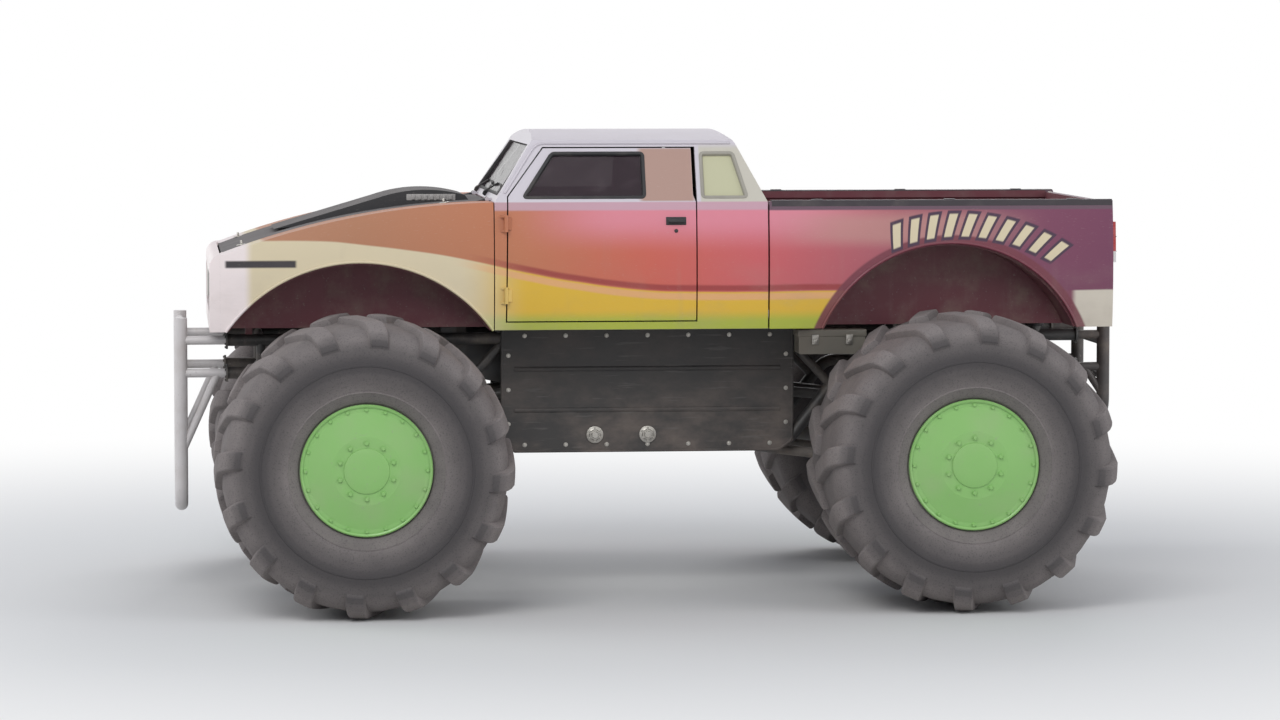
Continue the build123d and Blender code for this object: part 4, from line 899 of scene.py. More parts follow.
def rubber_finish():
    """Tyre rubber: dust on the lug tops and shoulders, darker sidewalls, moulded grain."""
    f = Finish("terra_tyre_rubber")
    across, lift = (
        f.node("ShaderNodeAttribute", {"attribute_name": name}, output="Fac") for name in ("across", "lift")
    )
    cloud = f.noise(4.0, 6.0, rough=0.65)
    grain = f.noise(120.0, 3.0)
    dust = (across.fall(0.50, 0.56) * 0.68 + across.fall(0.54, 0.547) * 0.14) * (0.35 + cloud * 0.9)
    dust = (dust + lift * 0.16).least(0.85)
    shade = f.mix((0.054, 0.050, 0.052), (0.27, 0.24, 0.23), dust)
    shade = f.mix(shade, (0.04, 0.04, 0.042), grain.rise(0.52, 0.68) * 0.35)
    f.set(Base_Color=shade, Roughness=0.72 + dust * 0.2, Specular_IOR_Level=0.25)
    f.bump(grain + cloud * 0.5, 0.22, 0.003)
    return f.material


def wheel_finish():
    """Green wheel paint outside, pale paint on the inner barrel and flange."""
    f = Finish("wheel_paint")
    out = f.y.size() - wheel_y
    cloud = f.noise(3.5, 5.0).rise(0.4, 0.75)
    chips = f.noise(45.0, 4.0).rise(0.66, 0.72)
    shade = f.mix((0.55, 0.53, 0.50), tuple(colours().wheel), out.rise(0.30, 0.31))
    shade = f.mix(shade, (0.46, 0.66, 0.34), out.rise(0.440, 0.443) * 0.18)
    shade = f.mix(shade, (0.40, 0.40, 0.28), cloud * 0.22)
    shade = f.mix(shade, (0.30, 0.30, 0.24), chips * 0.3)
    f.set(Base_Color=shade, Roughness=0.36 + cloud * 0.25, Coat_Weight=0.25)
    f.bump(f.noise(40.0, 2.0), 0.06, 0.002)
    return f.material


def glass_finish():
    """Dark tinted panes; the small rear side panes are opaque and pale, a painted reflection of the sky."""
    f = Finish("cab_glass_tint")
    # the rear side panes get an opaque pale colour: a painted reflection of the sky
    quarter = f.x.within(-0.56, -0.25, 0.01) * f.y.size().rise(0.70, 0.72)
    smear = f.noise(9.0, 5.0, (1, 1, 2)).rise(0.45, 0.8)
    tint = f.mix((0.030, 0.012, 0.022), (0.16, 0.13, 0.14), smear * 0.12)
    shade = f.mix(tint, (0.56, 0.55, 0.36), quarter)
    f.set(Base_Color=shade, Alpha=(0.66 + smear * 0.04).most(quarter), Roughness=0.06 + smear * 0.2)
    return f.material


def lens_finish(name, colour, alpha, reverse=False):
    """Ribbed lamp lens with a painted glint along its ribs; a tail lamp has a clear lower third."""
    f = Finish(name)
    ribs = f.y.ridges(110) + f.z.ridges(60) * 0.5
    # the rib edges are mixed towards white: a painted glint on each rib
    shade = f.mix(colour, (0.9, 0.88, 0.86), ribs * 0.12)
    if reverse:
        shade = f.mix(shade, (0.66, 0.64, 0.62), f.z.fall(1.995, 1.997))
    f.set(Base_Color=shade, Roughness=0.1 + ribs * 0.08, Alpha=alpha)
    f.bump(ribs, 0.4, 0.004)
    return f.material


def fabric_finish(name, colour):
    """Woven seat cloth: two crossing sets of threads with lint."""
    f = Finish(name)
    thread = f.y.ridges(420).most((f.x + f.z).ridges(420))
    lint = f.noise(25.0, 4.0).rise(0.5, 0.8)
    shade = f.mix(colour, (0.20, 0.18, 0.19), thread * 0.5 + lint * 0.25)
    f.set(Base_Color=shade, Roughness=0.92, Sheen_Weight=0.4)
    f.bump(thread, 0.4, 0.001)
    return f.material


def plastic_finish(name, colour, rough=0.5):
    """Moulded plastic with a leather-like grain."""
    f = Finish(name)
    grain = f.node("ShaderNodeTexVoronoi", None, Vector=f.place, Scale=260.0, output="Distance")
    haze = f.noise(6.0, 4.0).rise(0.45, 0.8)
    f.set(Base_Color=f.mix(colour, (0.24, 0.21, 0.19), haze * 0.3), Roughness=rough + haze * 0.2)
    f.bump(grain, 0.25, 0.0015)
    return f.material


own_finish = {
    "hood": "hood_paint",
    "cab": "cab_paint",
    "door_left": "cab_paint",
    "door_right": "cab_paint",
    "bed_sides": "bed_paint",
    "tailgate": "bed_paint",
}


class MakeFinishes(bpy.types.Operator):
    """Gives every carried-over part its own finish"""

    bl_idname = "truck.finishes"
    bl_label = "Finishes"

    def execute(self, context):
        finishes.update(
            body_paint=clip_finish("clip_paint"),
            hood_paint=clip_finish("hood_paint", hood=True),
            cab_paint=cab_finish(),
            bed_paint=bed_finish(),
            tyre_rubber=rubber_finish(),
            wheel_green=wheel_finish(),
            axle_steel=cast("axle_casting", (0.085, 0.083, 0.085)),
            bright_steel=bright("turned_steel"),
            zinc=bright("zinc_plate", (0.45, 0.43, 0.39), 0.4),
            grey_metal=painted("grey_box_paint", (0.27, 0.25, 0.205), 0.5),
            link_steel=painted("link_paint", (0.10, 0.095, 0.09), 0.45, 0.5),
            shock_steel=painted("shock_paint", (0.52, 0.49, 0.44), 0.35),
            frame_paint=painted("frame_paint", (0.045, 0.043, 0.042), 0.45, 0.45),
            skirt_black=skirt_finish(),
            cast_block=cast("engine_casting", (0.15, 0.15, 0.15)),
            guard_white=painted("guard_white_paint", (0.66, 0.63, 0.62), 0.3, 0.3),
            guard_dark=painted("guard_dark_paint", (0.06, 0.052, 0.05), 0.45, 0.4),
            seat_fabric=fabric_finish("seat_cloth", (0.06, 0.055, 0.06)),
            trim_plastic=plastic_finish("dash_plastic", (0.05, 0.05, 0.055)),
            door_lining=plastic_finish("door_lining", (0.11, 0.095, 0.095), 0.6),
            seal_rubber=plastic_finish("seal_rubber", (0.022, 0.022, 0.024), 0.62),
            pale_rubber=plastic_finish("pale_rubber", (0.36, 0.34, 0.29), 0.6),
            rail_cap=plastic_finish("rail_cap", (0.035, 0.028, 0.034), 0.45),
            pale_vent=painted("pale_vent_paint", (0.42, 0.40, 0.38), 0.4, 0.3),
            dial_face=plastic_finish("dial_face", (0.55, 0.55, 0.52), 0.4),
            glass=glass_finish(),
            lamp_glass=lens_finish("headlamp_lens", (0.70, 0.70, 0.68), 0.9),
            tail_lamp_lens=lens_finish("tail_lamp_lens", (0.40, 0.02, 0.02), 1.0, reverse=True),
            grille_plastic=painted("grille_paint", (0.035, 0.035, 0.038), 0.35, 0.25),
            bed_metal=painted("bed_floor_paint", bed_lining, 0.5, 0.45),
        )
        for part in frame["record"]["subparts"]:
            node = frame["nodes"][part["node"]]
            node.data.materials.clear()
            node.data.materials.append(finishes[own_finish.get(part["node"], part["material_slot"])])
        return {"FINISHED"}


# Tyres and wheels


def tyre_profile(shape):
    """Rows from the middle of the tread to the bead: (across, radius, lug share)."""
    crown = shape.crown
    rows = [(0.003, crown, 0), (0.008, crown, 0), (0.014, crown, 0), (0.022, crown, 0.9)]
    rows += [(a, crown - 0.06 * a**2, 1) for a in (0.03, 0.08, 0.14, 0.20, 0.26, 0.32, 0.37, 0.41)]
    rows += [(0.445, 0.779, 1), (0.475, 0.764, 0.97), (0.502, 0.742, 0.9), (0.521, 0.715, 0.75)]
    rows += [(0.530, 0.694, 0.5), (0.535, 0.682, 0.06), (0.5375, 0.672, 0), (0.543, 0.640, 0)]
    rows += [(0.546, 0.610, 0), (0.546, 0.596, 0), (0.5495, 0.592, 0), (0.5495, 0.584, 0)]
    rows += [(0.546, 0.580, 0), (0.544, 0.555, 0), (0.536, 0.515, 0), (0.522, 0.475, 0)]
    rows += [(0.506, 0.444, 0), (0.508, 0.436, 0), (0.500, 0.428, 0), (0.484, 0.405, 0)]
    rows += [(0.466, 0.386, 0), (0.452, 0.376, 0), (0.4418, 0.372, 0), (0.4418, 0.3405, 0)]
    return rows


def tyre_shape(shape, side):
    """Terra tyre: profile rows by columns that follow the lugs.

    A point stands at radius r + lug height along the profile's normal. Its angle is the
    column's own place in the lug pitch plus the lug's lean at that row, and the inner half
    is turned on by half a pitch.
    """
    split = 0.014  # from the tyre's middle to the lugs' inner ends
    reach = 0.526  # how far a row of lugs goes across
    lead = 0.086  # how far round the inner ends stand
    half = np.array(tyre_profile(shape))
    across, radius, share = np.concatenate([half[::-1] * (-1, 1, 1), half]).T
    slope = np.stack([np.gradient(across), np.gradient(radius)], axis=1)
    slope /= np.linalg.norm(slope, axis=1, keepdims=True)
    pitch = 2 * pi / shape.lugs
    outer = shape.crown + shape.lug_height
    # one lug's section along the tread: (place in millimetres, share of the lug's height)
    section = [(-66, 0), (-55, 0.86), (-47, 1), (0, 1), (47, 1), (55, 0.86), (66, 0), (110, 0), (150, 0)]
    along, raised = np.array(section, float).T
    columns = (np.arange(shape.lugs)[:, None] * pitch + along / (1000 * outer)).ravel()
    raised = np.tile(raised, shape.lugs)
    lean = (lead - shape.lean * np.clip((np.abs(across) - split) / reach, 0, 1.05)) / outer
    swap = np.clip((across + split) / (2 * split), 0, 1)
    angle = columns[None] + (lean + (1 - swap) * pitch / 2)[:, None]
    lift = shape.lug_height * share[:, None] * raised[None]
    place_across = across[:, None] - slope[:, 1:] * lift
    place_radius = radius[:, None] + slope[:, :1] * lift
    points = run_of(place_radius * np.sin(angle), side * place_across, place_radius * np.cos(angle))
    faces = grid_faces(len(across), len(columns), True, True)
    return outward(points.reshape(-1, 3), faces), lift.ravel()


class MakeTyres(bpy.types.Operator):
    """Four terra tyres with chevron lugs"""

    bl_idname = "truck.tyres"
    bl_label = "Tyres"

    def execute(self, context):
        shape = tyre_sizes()
        for corner, x, side in corners:
            tyre, lift = tyre_shape(shape, side)
            placed = moved(tyre, (x, side * wheel_y, wheel_z))
            piece = make_piece(f"tread_{corner}", placed, "tyre_rubber", f"wheel_{corner}", 28)
            for key, values in (("across", np.abs(tyre[0][:, 1])), ("lift", lift / shape.lug_height)):
                attribute = piece.data.attributes.new(key, "FLOAT", "POINT")
                attribute.data.foreach_set("value", values.astype(np.float32))
            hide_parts(f"tyre_{corner}")
        return {"FINISHED"}


class MakeWheelTrim(bpy.types.Operator):
    """Rolled lip, bolt ring and hub cap on each wheel"""

    bl_idname = "truck.wheel_trim"
    bl_label = "Wheel trim"

    def execute(self, context):
        lip = [(0.4565, 0.352), (0.4565, 0.367), (0.464, 0.3675)]
        lip += [(0.468, 0.362), (0.467, 0.355), (0.462, 0.350)]
        cap = [(0.478, 0.0), (0.478, 0.128), (0.486, 0.125), (0.490, 0.105), (0.492, 0.060), (0.492, 0.0)]
        rim_bolts = bolt_ring(20, 0.338, (0, 0.4566, 0), leftward, 0.0105, 0.012)
        cap_bolts = bolt_ring(10, 0.155, (0, 0.478, 0), leftward, 0.013, 0.016)
        outer = gather([lathe(lip, 72), lathe(cap, 48), rim_bolts, cap_bolts])
        for corner, x, side in corners:
            placed = moved(for_side(outer, side), (x, side * wheel_y, wheel_z))
            make_piece(f"wheel_trim_{corner}", placed, "wheel_green", f"wheel_{corner}", 40)
        return {"FINISHED"}


# Windows, cab and doors


def gasket_profile(wide):
    """Window rubber: a rounded lip on the skin and a flat fin that drops to the pane."""
    return [
        (-wide, -0.002),
        (-wide * 1.05, 0.002),
        (-wide * 0.7, 0.0052),
        (0.0, 0.0062),
        (0.006, 0.003),
        (0.009, -0.004),
        (0.011, -0.0155),
        (0.002, -0.0155),
        (0.001, -0.002),
    ]


def side_window(corners, side):
    """A side window's outline and the skin's normals along it."""
    return on_side(*rounded(corners, 0.018).T, 0.0, side)


def flat_window(surface, low_half, high_half, foot, head):
    """Outline of the windscreen or the rear window on its plane, and the normals along it."""
    outline = rounded([(-low_half, foot), (-high_half, head), (high_half, head), (low_half, foot)], 0.03)
    return surface(*outline.T)


class MakeSeals(bpy.types.Operator):
    """Rubber gaskets round every pane"""

    bl_idname = "truck.seals"
    bl_label = "Window seals"

    def execute(self, context):
        profile = gasket_profile(trim_sizes().gasket)
        foot, head = 2.318, 2.564
        quarter = [(-0.520, foot), (-0.450, head), (-0.268, head), (-0.268, foot)]
        door = [(0.070, foot), (0.070, head), (0.590, head), (0.760, foot)]
        screen = gasket(*flat_window(on_screen, 0.800, 0.665, 2.335, 2.615), profile)
        back = gasket(*flat_window(on_back, 0.680, 0.590, 2.345, 2.590), profile)
        make_piece("window_seals", [screen, back], "seal_rubber")
        pale = [gasket(*side_window(quarter, side), profile) for name, side in left_right]
        make_piece("quarter_seals", pale, "pale_rubber")
        behind_cab = slab((-0.6505, 0.870, 1.575), (-0.6395, 0.885, 2.235), 0.001)
        over_door = slab((-0.220, 0.730, 2.5970), (0.550, 0.742, 2.6030), 0.001)
        make_pair("gap_seals", [behind_cab, over_door], "seal_rubber")
        for name, side in left_right:
            seal = gasket(*side_window(door, side), profile)
            make_piece(f"door_seal_{name}", seal, "seal_rubber", f"door_{name}")
        return {"FINISHED"}


def wiper(middle):
    """Blade that bows by a parabola over its length, the hub it turns on, and its arm."""
    half, bow = 0.24, 0.012
    across = np.linspace(-half, half, 25) + middle
    height = 2.372 + bow * (1 - ((across - middle) / half) ** 2)
    blade, normals = on_screen(across, height, -0.010)
    hub_y, hub_z = middle - 0.30, 2.314
    hub, facing = on_screen(hub_y, hub_z)
    reach = np.linspace(0, 1, 9)
    arm = on_screen(hub_y + 0.30 * reach, hub_z + 0.068 * reach, 0.020 - 0.018 * reach)[0]
    return [
        carried(blade, bead((0.004, -0.006), (0.006, 0.004), top=0.008), normals),
        boss(0.018, 0.022, 0.006, 24, hub, facing),
        tube(arm, 0.0055),
    ]


class MakeCabTrim(bpy.types.Operator):
    """Drip rails over the doors and two wipers"""

    bl_idname = "truck.cab_trim"
    bl_label = "Cab trim"

    def execute(self, context):
        route = rounded([(0.871, 2.340), (0.681, 2.622), (-0.440, 2.622)], 0.05, closed=False)
        gutter = [(-0.006, -0.003), (-0.008, 0.005), (-0.004, 0.010), (0.002, 0.009), (0.007, 0.003)]
        gutter.append((0.006, -0.003))
        make_pair("drip_rails", strip(on_side(*route.T), gutter), "cab_paint")
        make_piece("wipers", [*wiper(0.36), *wiper(-0.36)], "seal_rubber")
        return {"FINISHED"}


def on_skin_box(x_low, x_high, z_low, z_high, out_low, out_high, edge):
    """Rounded box on the left side's skin, bent to it: (x, out, z) becomes skin + out * normal."""
    points, faces = slab((x_low, out_low, z_low), (x_high, out_high, z_high), edge)
    return on_side(points[:, 0], points[:, 2], points[:, 1])[0], faces


def door_card():
    """Padded lining of the left door: rings of a rounded box that stand on the door's inner face.

    The rings grow from the middle at one depth, roll over the edge and shrink back at another,
    and the card narrows by a share of 0.06 towards its top.
    """
    outline = dense(rounded_box(0.500, 0.300, 0.06), 0.06)
    steps = np.linspace(0, 1, 9)
    scales = [*steps, 1.0, 0.985, 0.96, 0.93, *(steps[-2::-1] * 0.92)]
    depths = [0.039] * 9 + [0.044, 0.050, 0.052, 0.048] + [0.048] * 8
    points, faces = stacked(outline, scales, depths)
    x = 0.315 + points[:, 0] * (1 - 0.06 * np.clip(points[:, 1] / 0.3, 0, 1))
    return outward(on_side(x, 1.955 + points[:, 1], -points[:, 2])[0], faces)


def armrest():
    """Rounded box bent to the left door's inner face: (x, in, z) becomes skin - (0.046 + in) * normal."""
    points, faces = slab((0.02, 0.0, 1.905), (0.52, 0.062, 1.965), 0.018)
    return outward(on_side(points[:, 0], points[:, 2], -0.046 - points[:, 1])[0], faces)


def winder():
    """Window crank on the left door's lining: its hub, arm and knob."""
    at, facing = on_side(0.30, 1.80, -0.046)
    knob = at + np.array([0.09, -0.012, 0.03])
    arm = [at - 0.014 * facing, knob - np.array([0, 0.010, 0])]
    hub = boss(0.026, 0.016, 0.005, 24, at, -facing)
    return [hub, tube(arm, 0.007), boss(0.013, 0.030, 0.006, 20, knob, -facing)]


class MakeDoorTrim(bpy.types.Operator):
    """Handles and locks outside each door; lining, armrest and winder inside"""

    bl_idname = "truck.door_trim"
    bl_label = "Door trim"

    def execute(self, context):
        handle = [
            on_skin_box(-0.168, -0.052, 2.158, 2.204, -0.004, 0.004, 0.003),
            on_skin_box(-0.158, -0.062, 2.170, 2.190, 0.016, 0.026, 0.0045),
            on_skin_box(-0.156, -0.138, 2.172, 2.188, 0.002, 0.022, 0.004),
            on_skin_box(-0.082, -0.064, 2.172, 2.188, 0.002, 0.022, 0.004),
            boss(0.011, 0.005, 0.002, 24, *on_side(-0.110, 2.125)),
        ]
        pieces = (
            ("handle", gather(handle), "seal_rubber"),
            ("lining", gather([door_card(), armrest()]), "door_lining"),
            ("winder", gather(winder()), "zinc"),
        )
        for name, side in left_right:
            for piece, shape, finish in pieces:
                make_piece(f"door_{piece}_{name}", for_side(shape, side), finish, f"door_{name}")
        return {"FINISHED"}


# Front clip


def hood_pin(x, y):
    """Scuff plate, pin and the wire ring through it, standing on the hood's skin."""
    top, lean = np.array([x, y, float(hood_height(x))]), (0.15, 0, 1)
    turn = np.linspace(0, 2 * pi, 17)[:-1]
    ring = run_of(0.004 * np.sin(turn), 0.016 * np.cos(turn) + 0.014, 0.012 + 0.004 * np.sin(turn))
    return [
        boss(0.030, 0.004, 0.002, 28, top, lean),
        boss(0.007, 0.026, 0.003, 16, top, lean),
        carried(top + ring, round_bar(0.0018, 6), upward, closed=True),
    ]


class MakeClipTrim(bpy.types.Operator):
    """Arch lips, lamp bezels and lenses, hood pins and the vents in the hood's bulge"""

    bl_idname = "truck.clip_trim"
    bl_label = "Front trim"

    def execute(self, context):
        lip = round_bar(trim_sizes().lip, 10)
        for name, arch, finish in (("front", front_arch, "body_paint"), ("rear", rear_arch, "bed_paint")):
            make_pair(f"{name}_arch_lips", strip(on_side(*arch_path(*arch), 0.001), lip), finish)
            make_pair(f"{name}_arch_flanges", arch_flange(*arch), "bed_metal")
        at_lamps = [(0, side * 0.706, 1.775) for name, side in left_right]
        bezel_path = run_of(2.536, *rounded_box(0.096, 0.086, 0.02).T)
        ring = [(-0.008, -0.001), (-0.008, 0.005), (-0.003, 0.009)]
        ring += [(0.004, 0.008), (0.007, 0.002), (0.007, -0.010)]
        bezel = gasket(bezel_path, np.broadcast_to(np.array(forward, float), bezel_path.shape), ring)
        make_piece("headlamp_bezels", copies(bezel, at_lamps), "bright_steel")
        # the lens bulges by 8 mm, less the fourth power of the way out
        out = np.linspace(1, 0, 9)
        lifts = [-0.002, -0.002, *(0.008 * (1 - out**4))]
        dome = stacked(rounded_box(0.088, 0.078, 0.012), [0, 1, *out], lifts)
        lens = laid(dome, (2.532, 0, 0), leftward, upward)
        make_piece("headlamp_lenses", copies(lens, at_lamps), "lamp_glass")
        at_pins = ((2.36, 0.56), (2.36, -0.56), (1.20, 0.62), (1.20, -0.62))
        pins = [shape for place in at_pins for shape in hood_pin(*place)]
        make_piece("hood_pins", pins, "zinc", "hood")
        vent = [slab((1.115, 0.3285, 2.284), (1.400, 0.3325, 2.320), 0.0015)]
        for x in 1.135 + 0.036 * np.arange(7):
            vent.append(slab((x, 0.331, 2.288), (x + 0.020, 0.341, 2.316), 0.003))
        make_pair("hood_vents", vent, "pale_vent", "hood")
        return {"FINISHED"}


# Bed and tailgate


class MakeBedTrim(bpy.types.Operator):
    """Rail caps, floor and wall ribs, tail lamp bars"""

    bl_idname = "truck.bed_trim"
    bl_label = "Bed trim"

    def execute(self, context):
        # section of a rail cap as (y, z), from its inner lip over the rail to its outer lip
        cap = [(0.8535, 2.2895), (0.8535, 2.2935), (0.8570, 2.2965), (0.9130, 2.2975)]
        cap += [(0.9195, 2.2930), (0.9205, 2.2620), (0.9165, 2.2620), (0.9150, 2.2895)]
        caps = [carried(run_of(np.linspace(-2.646, -0.664, 34), 0, 0), cap, upward)]
        for x in (-0.93, -1.70, -2.42):
            caps.append(slab((x - 0.032, 0.866, 2.294), (x + 0.032, 0.904, 2.3015), 0.0025))
        make_pair("bed_rail_caps", caps, "rail_cap")
        rib = bead((0.034, -0.002), (0.030, 0.003), (0.022, 0.0085))
        along = np.linspace(-0.715, -2.585, 20)
        ribs = [carried(run_of(along, y, bed_floor_z), rib, upward) for y in np.arange(-4.5, 5) * 0.112]
        up = np.linspace(1.78, 2.235, 8)
        ribs += [carried(run_of(-0.690, y, up), rib, rearward) for y in (-0.60, -0.30, 0.0, 0.30, 0.60)]
        corner = on_side(np.full(12, -0.6705), np.linspace(1.746, 2.268, 12), -0.0755)
        post = strip(corner, [(-0.018, -0.03), (0.018, -0.03), (0.018, 0.03), (-0.018, 0.03)])
        make_pair("bed_corner_posts", post, "bed_metal")
        spots = [(x, y, bed_floor_z) for x in (-0.90, -2.45) for y in (-0.56, -0.168, 0.168, 0.56)]
        ribs.append(bolts_at(spots, upward, 0.012, 0.008))
        make_piece("bed_ribs", ribs, "bed_metal")
        bars = [slab((-2.6695, 0.8985, z), (-2.664, 0.941, z + 0.006), 0.0018) for z in (1.993, 2.078)]
        make_pair("tail_lamp_bars", bars, "seal_rubber")
        return {"FINISHED"}


class MakeTailgateTrim(bpy.types.Operator):
    """Handle, pressed ribs and latch plates on the tailgate"""

    bl_idname = "truck.tailgate_trim"
    bl_label = "Tailgate trim"

    def execute(self, context):
        recess = slab((-2.6505, -0.105, 2.080), (-2.639, 0.105, 2.152), 0.004)
        grip = slab((-2.6620, -0.075, 2.098), (-2.650, 0.075, 2.126), 0.005)
        make_piece("tailgate_handle", [recess, grip], "seal_rubber", "tailgate")
        rib = bead((0.020, -0.001), (0.016, 0.004), (0.008, 0.0085))
        across = np.linspace(-0.66, 0.66, 12)
        ribs = [carried(run_of(-2.640, across, z), rib, rearward) for z in (1.875, 1.945, 2.015)]
        y, z = rounded_box(0.640, 0.190, 0.04).T
        ribs.append(carried(run_of(-2.602, y, z + 2.0), rib, forward, closed=True))
        make_piece("tailgate_ribs", ribs, "bed_paint", "tailgate")
        latch = slab((-2.632, 0.800, 2.276), (-2.612, 0.838, 2.284), 0.002)
        make_pair("tailgate_latches", latch, "zinc", "tailgate")
        return {"FINISHED"}


# Frame, skirts, axles and drive line


class MakeSkirtTrim(bpy.types.Operator):
    """Hemmed edge, fasteners and the lower links' pivot ends on both skirts"""

    bl_idname = "truck.skirt_trim"
    bl_label = "Skirt trim"

    def execute(self, context):
        edge = [(-0.852, 0.877), (-0.852, 1.532), (0.852, 1.532), (0.852, 0.877)]
        edge += [(0.775, 0.820), (-0.775, 0.820)]
        x, z = rounded(edge, 0.02).T
        hem = bead((0.007, -0.001), (0.005, 0.004), top=0.0055)
        pressed = bead((0.016, -0.001), (0.010, 0.005), top=0.007)
        shapes = [carried(run_of(x, skirt_y, z), hem, leftward, closed=True)]
        along = np.linspace(-0.78, 0.78, 14)
        shapes += [carried(run_of(along, skirt_y, z), pressed, leftward) for z in (1.060, 1.300)]
        make_pair("skirt_pressings", shapes, "skirt_black")
        spots = [(x, skirt_y, z) for z in (1.495, 0.858) for x in np.arange(-3, 4) * 0.24]
        spots += [(x, skirt_y, z) for x in (-0.815, 0.815) for z in (0.98, 1.18, 1.38)]
        make_pair("skirt_bolts", bolts_at(spots, leftward, 0.010, 0.008), "zinc")
        pivots, plate = [], 0.010
        for x in (0.310, 0.0):
            face = (x, skirt_y + plate, 0.915)
            pivots.append(boss(0.050, plate, 0.003, 40, (x, skirt_y, 0.915), leftward))
            pivots.append(bolts_at([face], leftward, 0.024, 0.020))
            pivots.append(bolt_ring(6, 0.037, face, leftward, 0.005, 0.005))
        make_pair("pivot_ends", pivots, "zinc")
        return {"FINISHED"}


class MakeAxleTrim(bpy.types.Operator):
    """Bolted covers on the axle middles, kingpin caps, and nuts on the link pins"""

    bl_idname = "truck.axle_trim"
    bl_label = "Axle trim"

    def execute(self, context):
        cover = [(0.116, 0.0), (0.116, 0.152), (0.134, 0.152), (0.136, 0.128), (0.156, 0.116)]
        cover += [(0.176, 0.086), (0.187, 0.045), (0.189, 0.0)]
        shapes = [lathe(cover, 48, along=forward), bolt_ring(12, 0.141, (0.134, 0, 0), forward, 0.009, 0.009)]
        for side in (1, -1):
            for end in (1, -1):
                y, up = side * kingpin_y, (0, 0, end)
                shapes.append(boss(0.048, 0.010, 0.003, 32, (0, y, end * 0.154), up))
                shapes.append(bolt_ring(4, 0.034, (0, y, end * 0.164), up, 0.007, 0.006, pi / 4))
        whole = gather(shapes)
        for name, end in axle_ends:
            placed = whole if end > 0 else mirrored(whole, 0)
            make_piece(f"axle_covers_{name}", moved(placed, (end * axle_x, 0, wheel_z)), "axle_steel")
        nuts = []
        for x in (axle_x, -axle_x):
            for y, up in ((0.320, -0.145), (0.118, 0.222)):
                for out in (1, -1):
                    nuts.append(bolts_at([(x, y + out * 0.062, wheel_z + up)], (0, out, 0), 0.026, 0.016))
        for foot, head in shock_ends():
            for eye in (foot, head):
                nuts.append(bolts_at([eye + np.array([0, 0.031, 0])], leftward, 0.014, 0.010))
        make_pair("link_nuts", nuts, "zinc")
        return {"FINISHED"}


def shock_ends():
    """Lower and upper eye of the four shocks on the left side."""
    for end in (1, -1):
        for lean in (1, -1):
            turn = np.array([lean, 1, 1])
            axle = np.array([end * axle_x, 0, 0])
            yield axle + turn * shock_foot, axle + turn * shock_head


class MakeShockTrim(bpy.types.Operator):
    """Collars, adjuster rings and rod scrapers on the eight shocks"""

    bl_idname = "truck.shock_trim"
    bl_label = "Shock trim"

    def execute(self, context):
        collars, rods = [], []
        for foot, head in shock_ends():
            run = head - foot
            ahead = run / np.linalg.norm(run)
            low = foot + ahead * 0.084
            top = low + run * 0.52
            for at, height in ((low, 0.014), (low + run * 0.10, 0.010), (top - run * 0.10, 0.010)):
                ring = [(0, 0.043), (0, 0.0475), (height, 0.0475), (height, 0.043)]
                collars.append(lathe(ring, 28, at, ahead))
            scraper = [(0, 0.020), (0, 0.040), (0.010, 0.038), (0.020, 0.026), (0.024, 0.020)]
            rods.append(lathe(scraper, 28, top, ahead))
        make_pair("shock_collars", collars, "zinc")
        make_pair("shock_scrapers", rods, "seal_rubber")
        return {"FINISHED"}


class MakeFrameTrim(bpy.types.Operator):
    """Guard flanges, body pads, box lid and latches, shaft joint caps"""

    bl_idname = "truck.frame_trim"
    bl_label = "Frame trim"

    def execute(self, context):
        flanges, plate = [], 0.012
        for x, out in ((2.440, 1), (-2.540, -1)):
            for z in (1.480, 1.290):
                ahead = (out, 0, 0)
                flanges.append(boss(0.052, plate, 0.003, 32, (x, rail_y, z), ahead))
                flanges.append(bolt_ring(6, 0.041, (x + plate * out, rail_y, z), ahead, 0.007, 0.007))
        make_pair("guard_flanges", flanges, "frame_paint")
        pad = [(0, 0.034), (0, 0.052), (0.006, 0.056), (0.018, 0.056), (0.024, 0.052), (0.024, 0.034)]
        pads = [lathe(pad, 32, (x, rail_y, 1.5345), upward) for x in (0.560, -0.560, -0.900, -2.300)]
        make_pair("body_pads", pads, "seal_rubber")
        make_piece("box_lid", slab((-1.262, 0.4165, 1.492), (-0.858, 0.622, 1.5335), 0.006), "grey_metal")
        latches = []
        for x in (-1.16, -0.96):
            latches.append(slab((x - 0.020, 0.613, 1.445), (x + 0.020, 0.627, 1.505), 0.003))
            latches.append(slab((x - 0.012, 0.624, 1.455), (x + 0.012, 0.633, 1.480), 0.003))
        make_piece("box_latches", latches, "zinc")
        caps, reach = [], 0.066
        for x, z in ((0.425, 0.985), (-0.135, 0.985), (1.335, wheel_z), (-1.335, wheel_z)):
            for turn in 0.3 + np.arange(4) * pi / 2:
                at, out = np.array([x, 0, z]), np.array([0, sin(turn), cos(turn)])
                caps.append(boss(0.020, reach, 0.003, 20, at, out))
                caps.append(bolts_at([at + reach * out], out, 0.007, 0.005))
        make_piece("shaft_joint_caps", caps, "zinc")
        return {"FINISHED"}


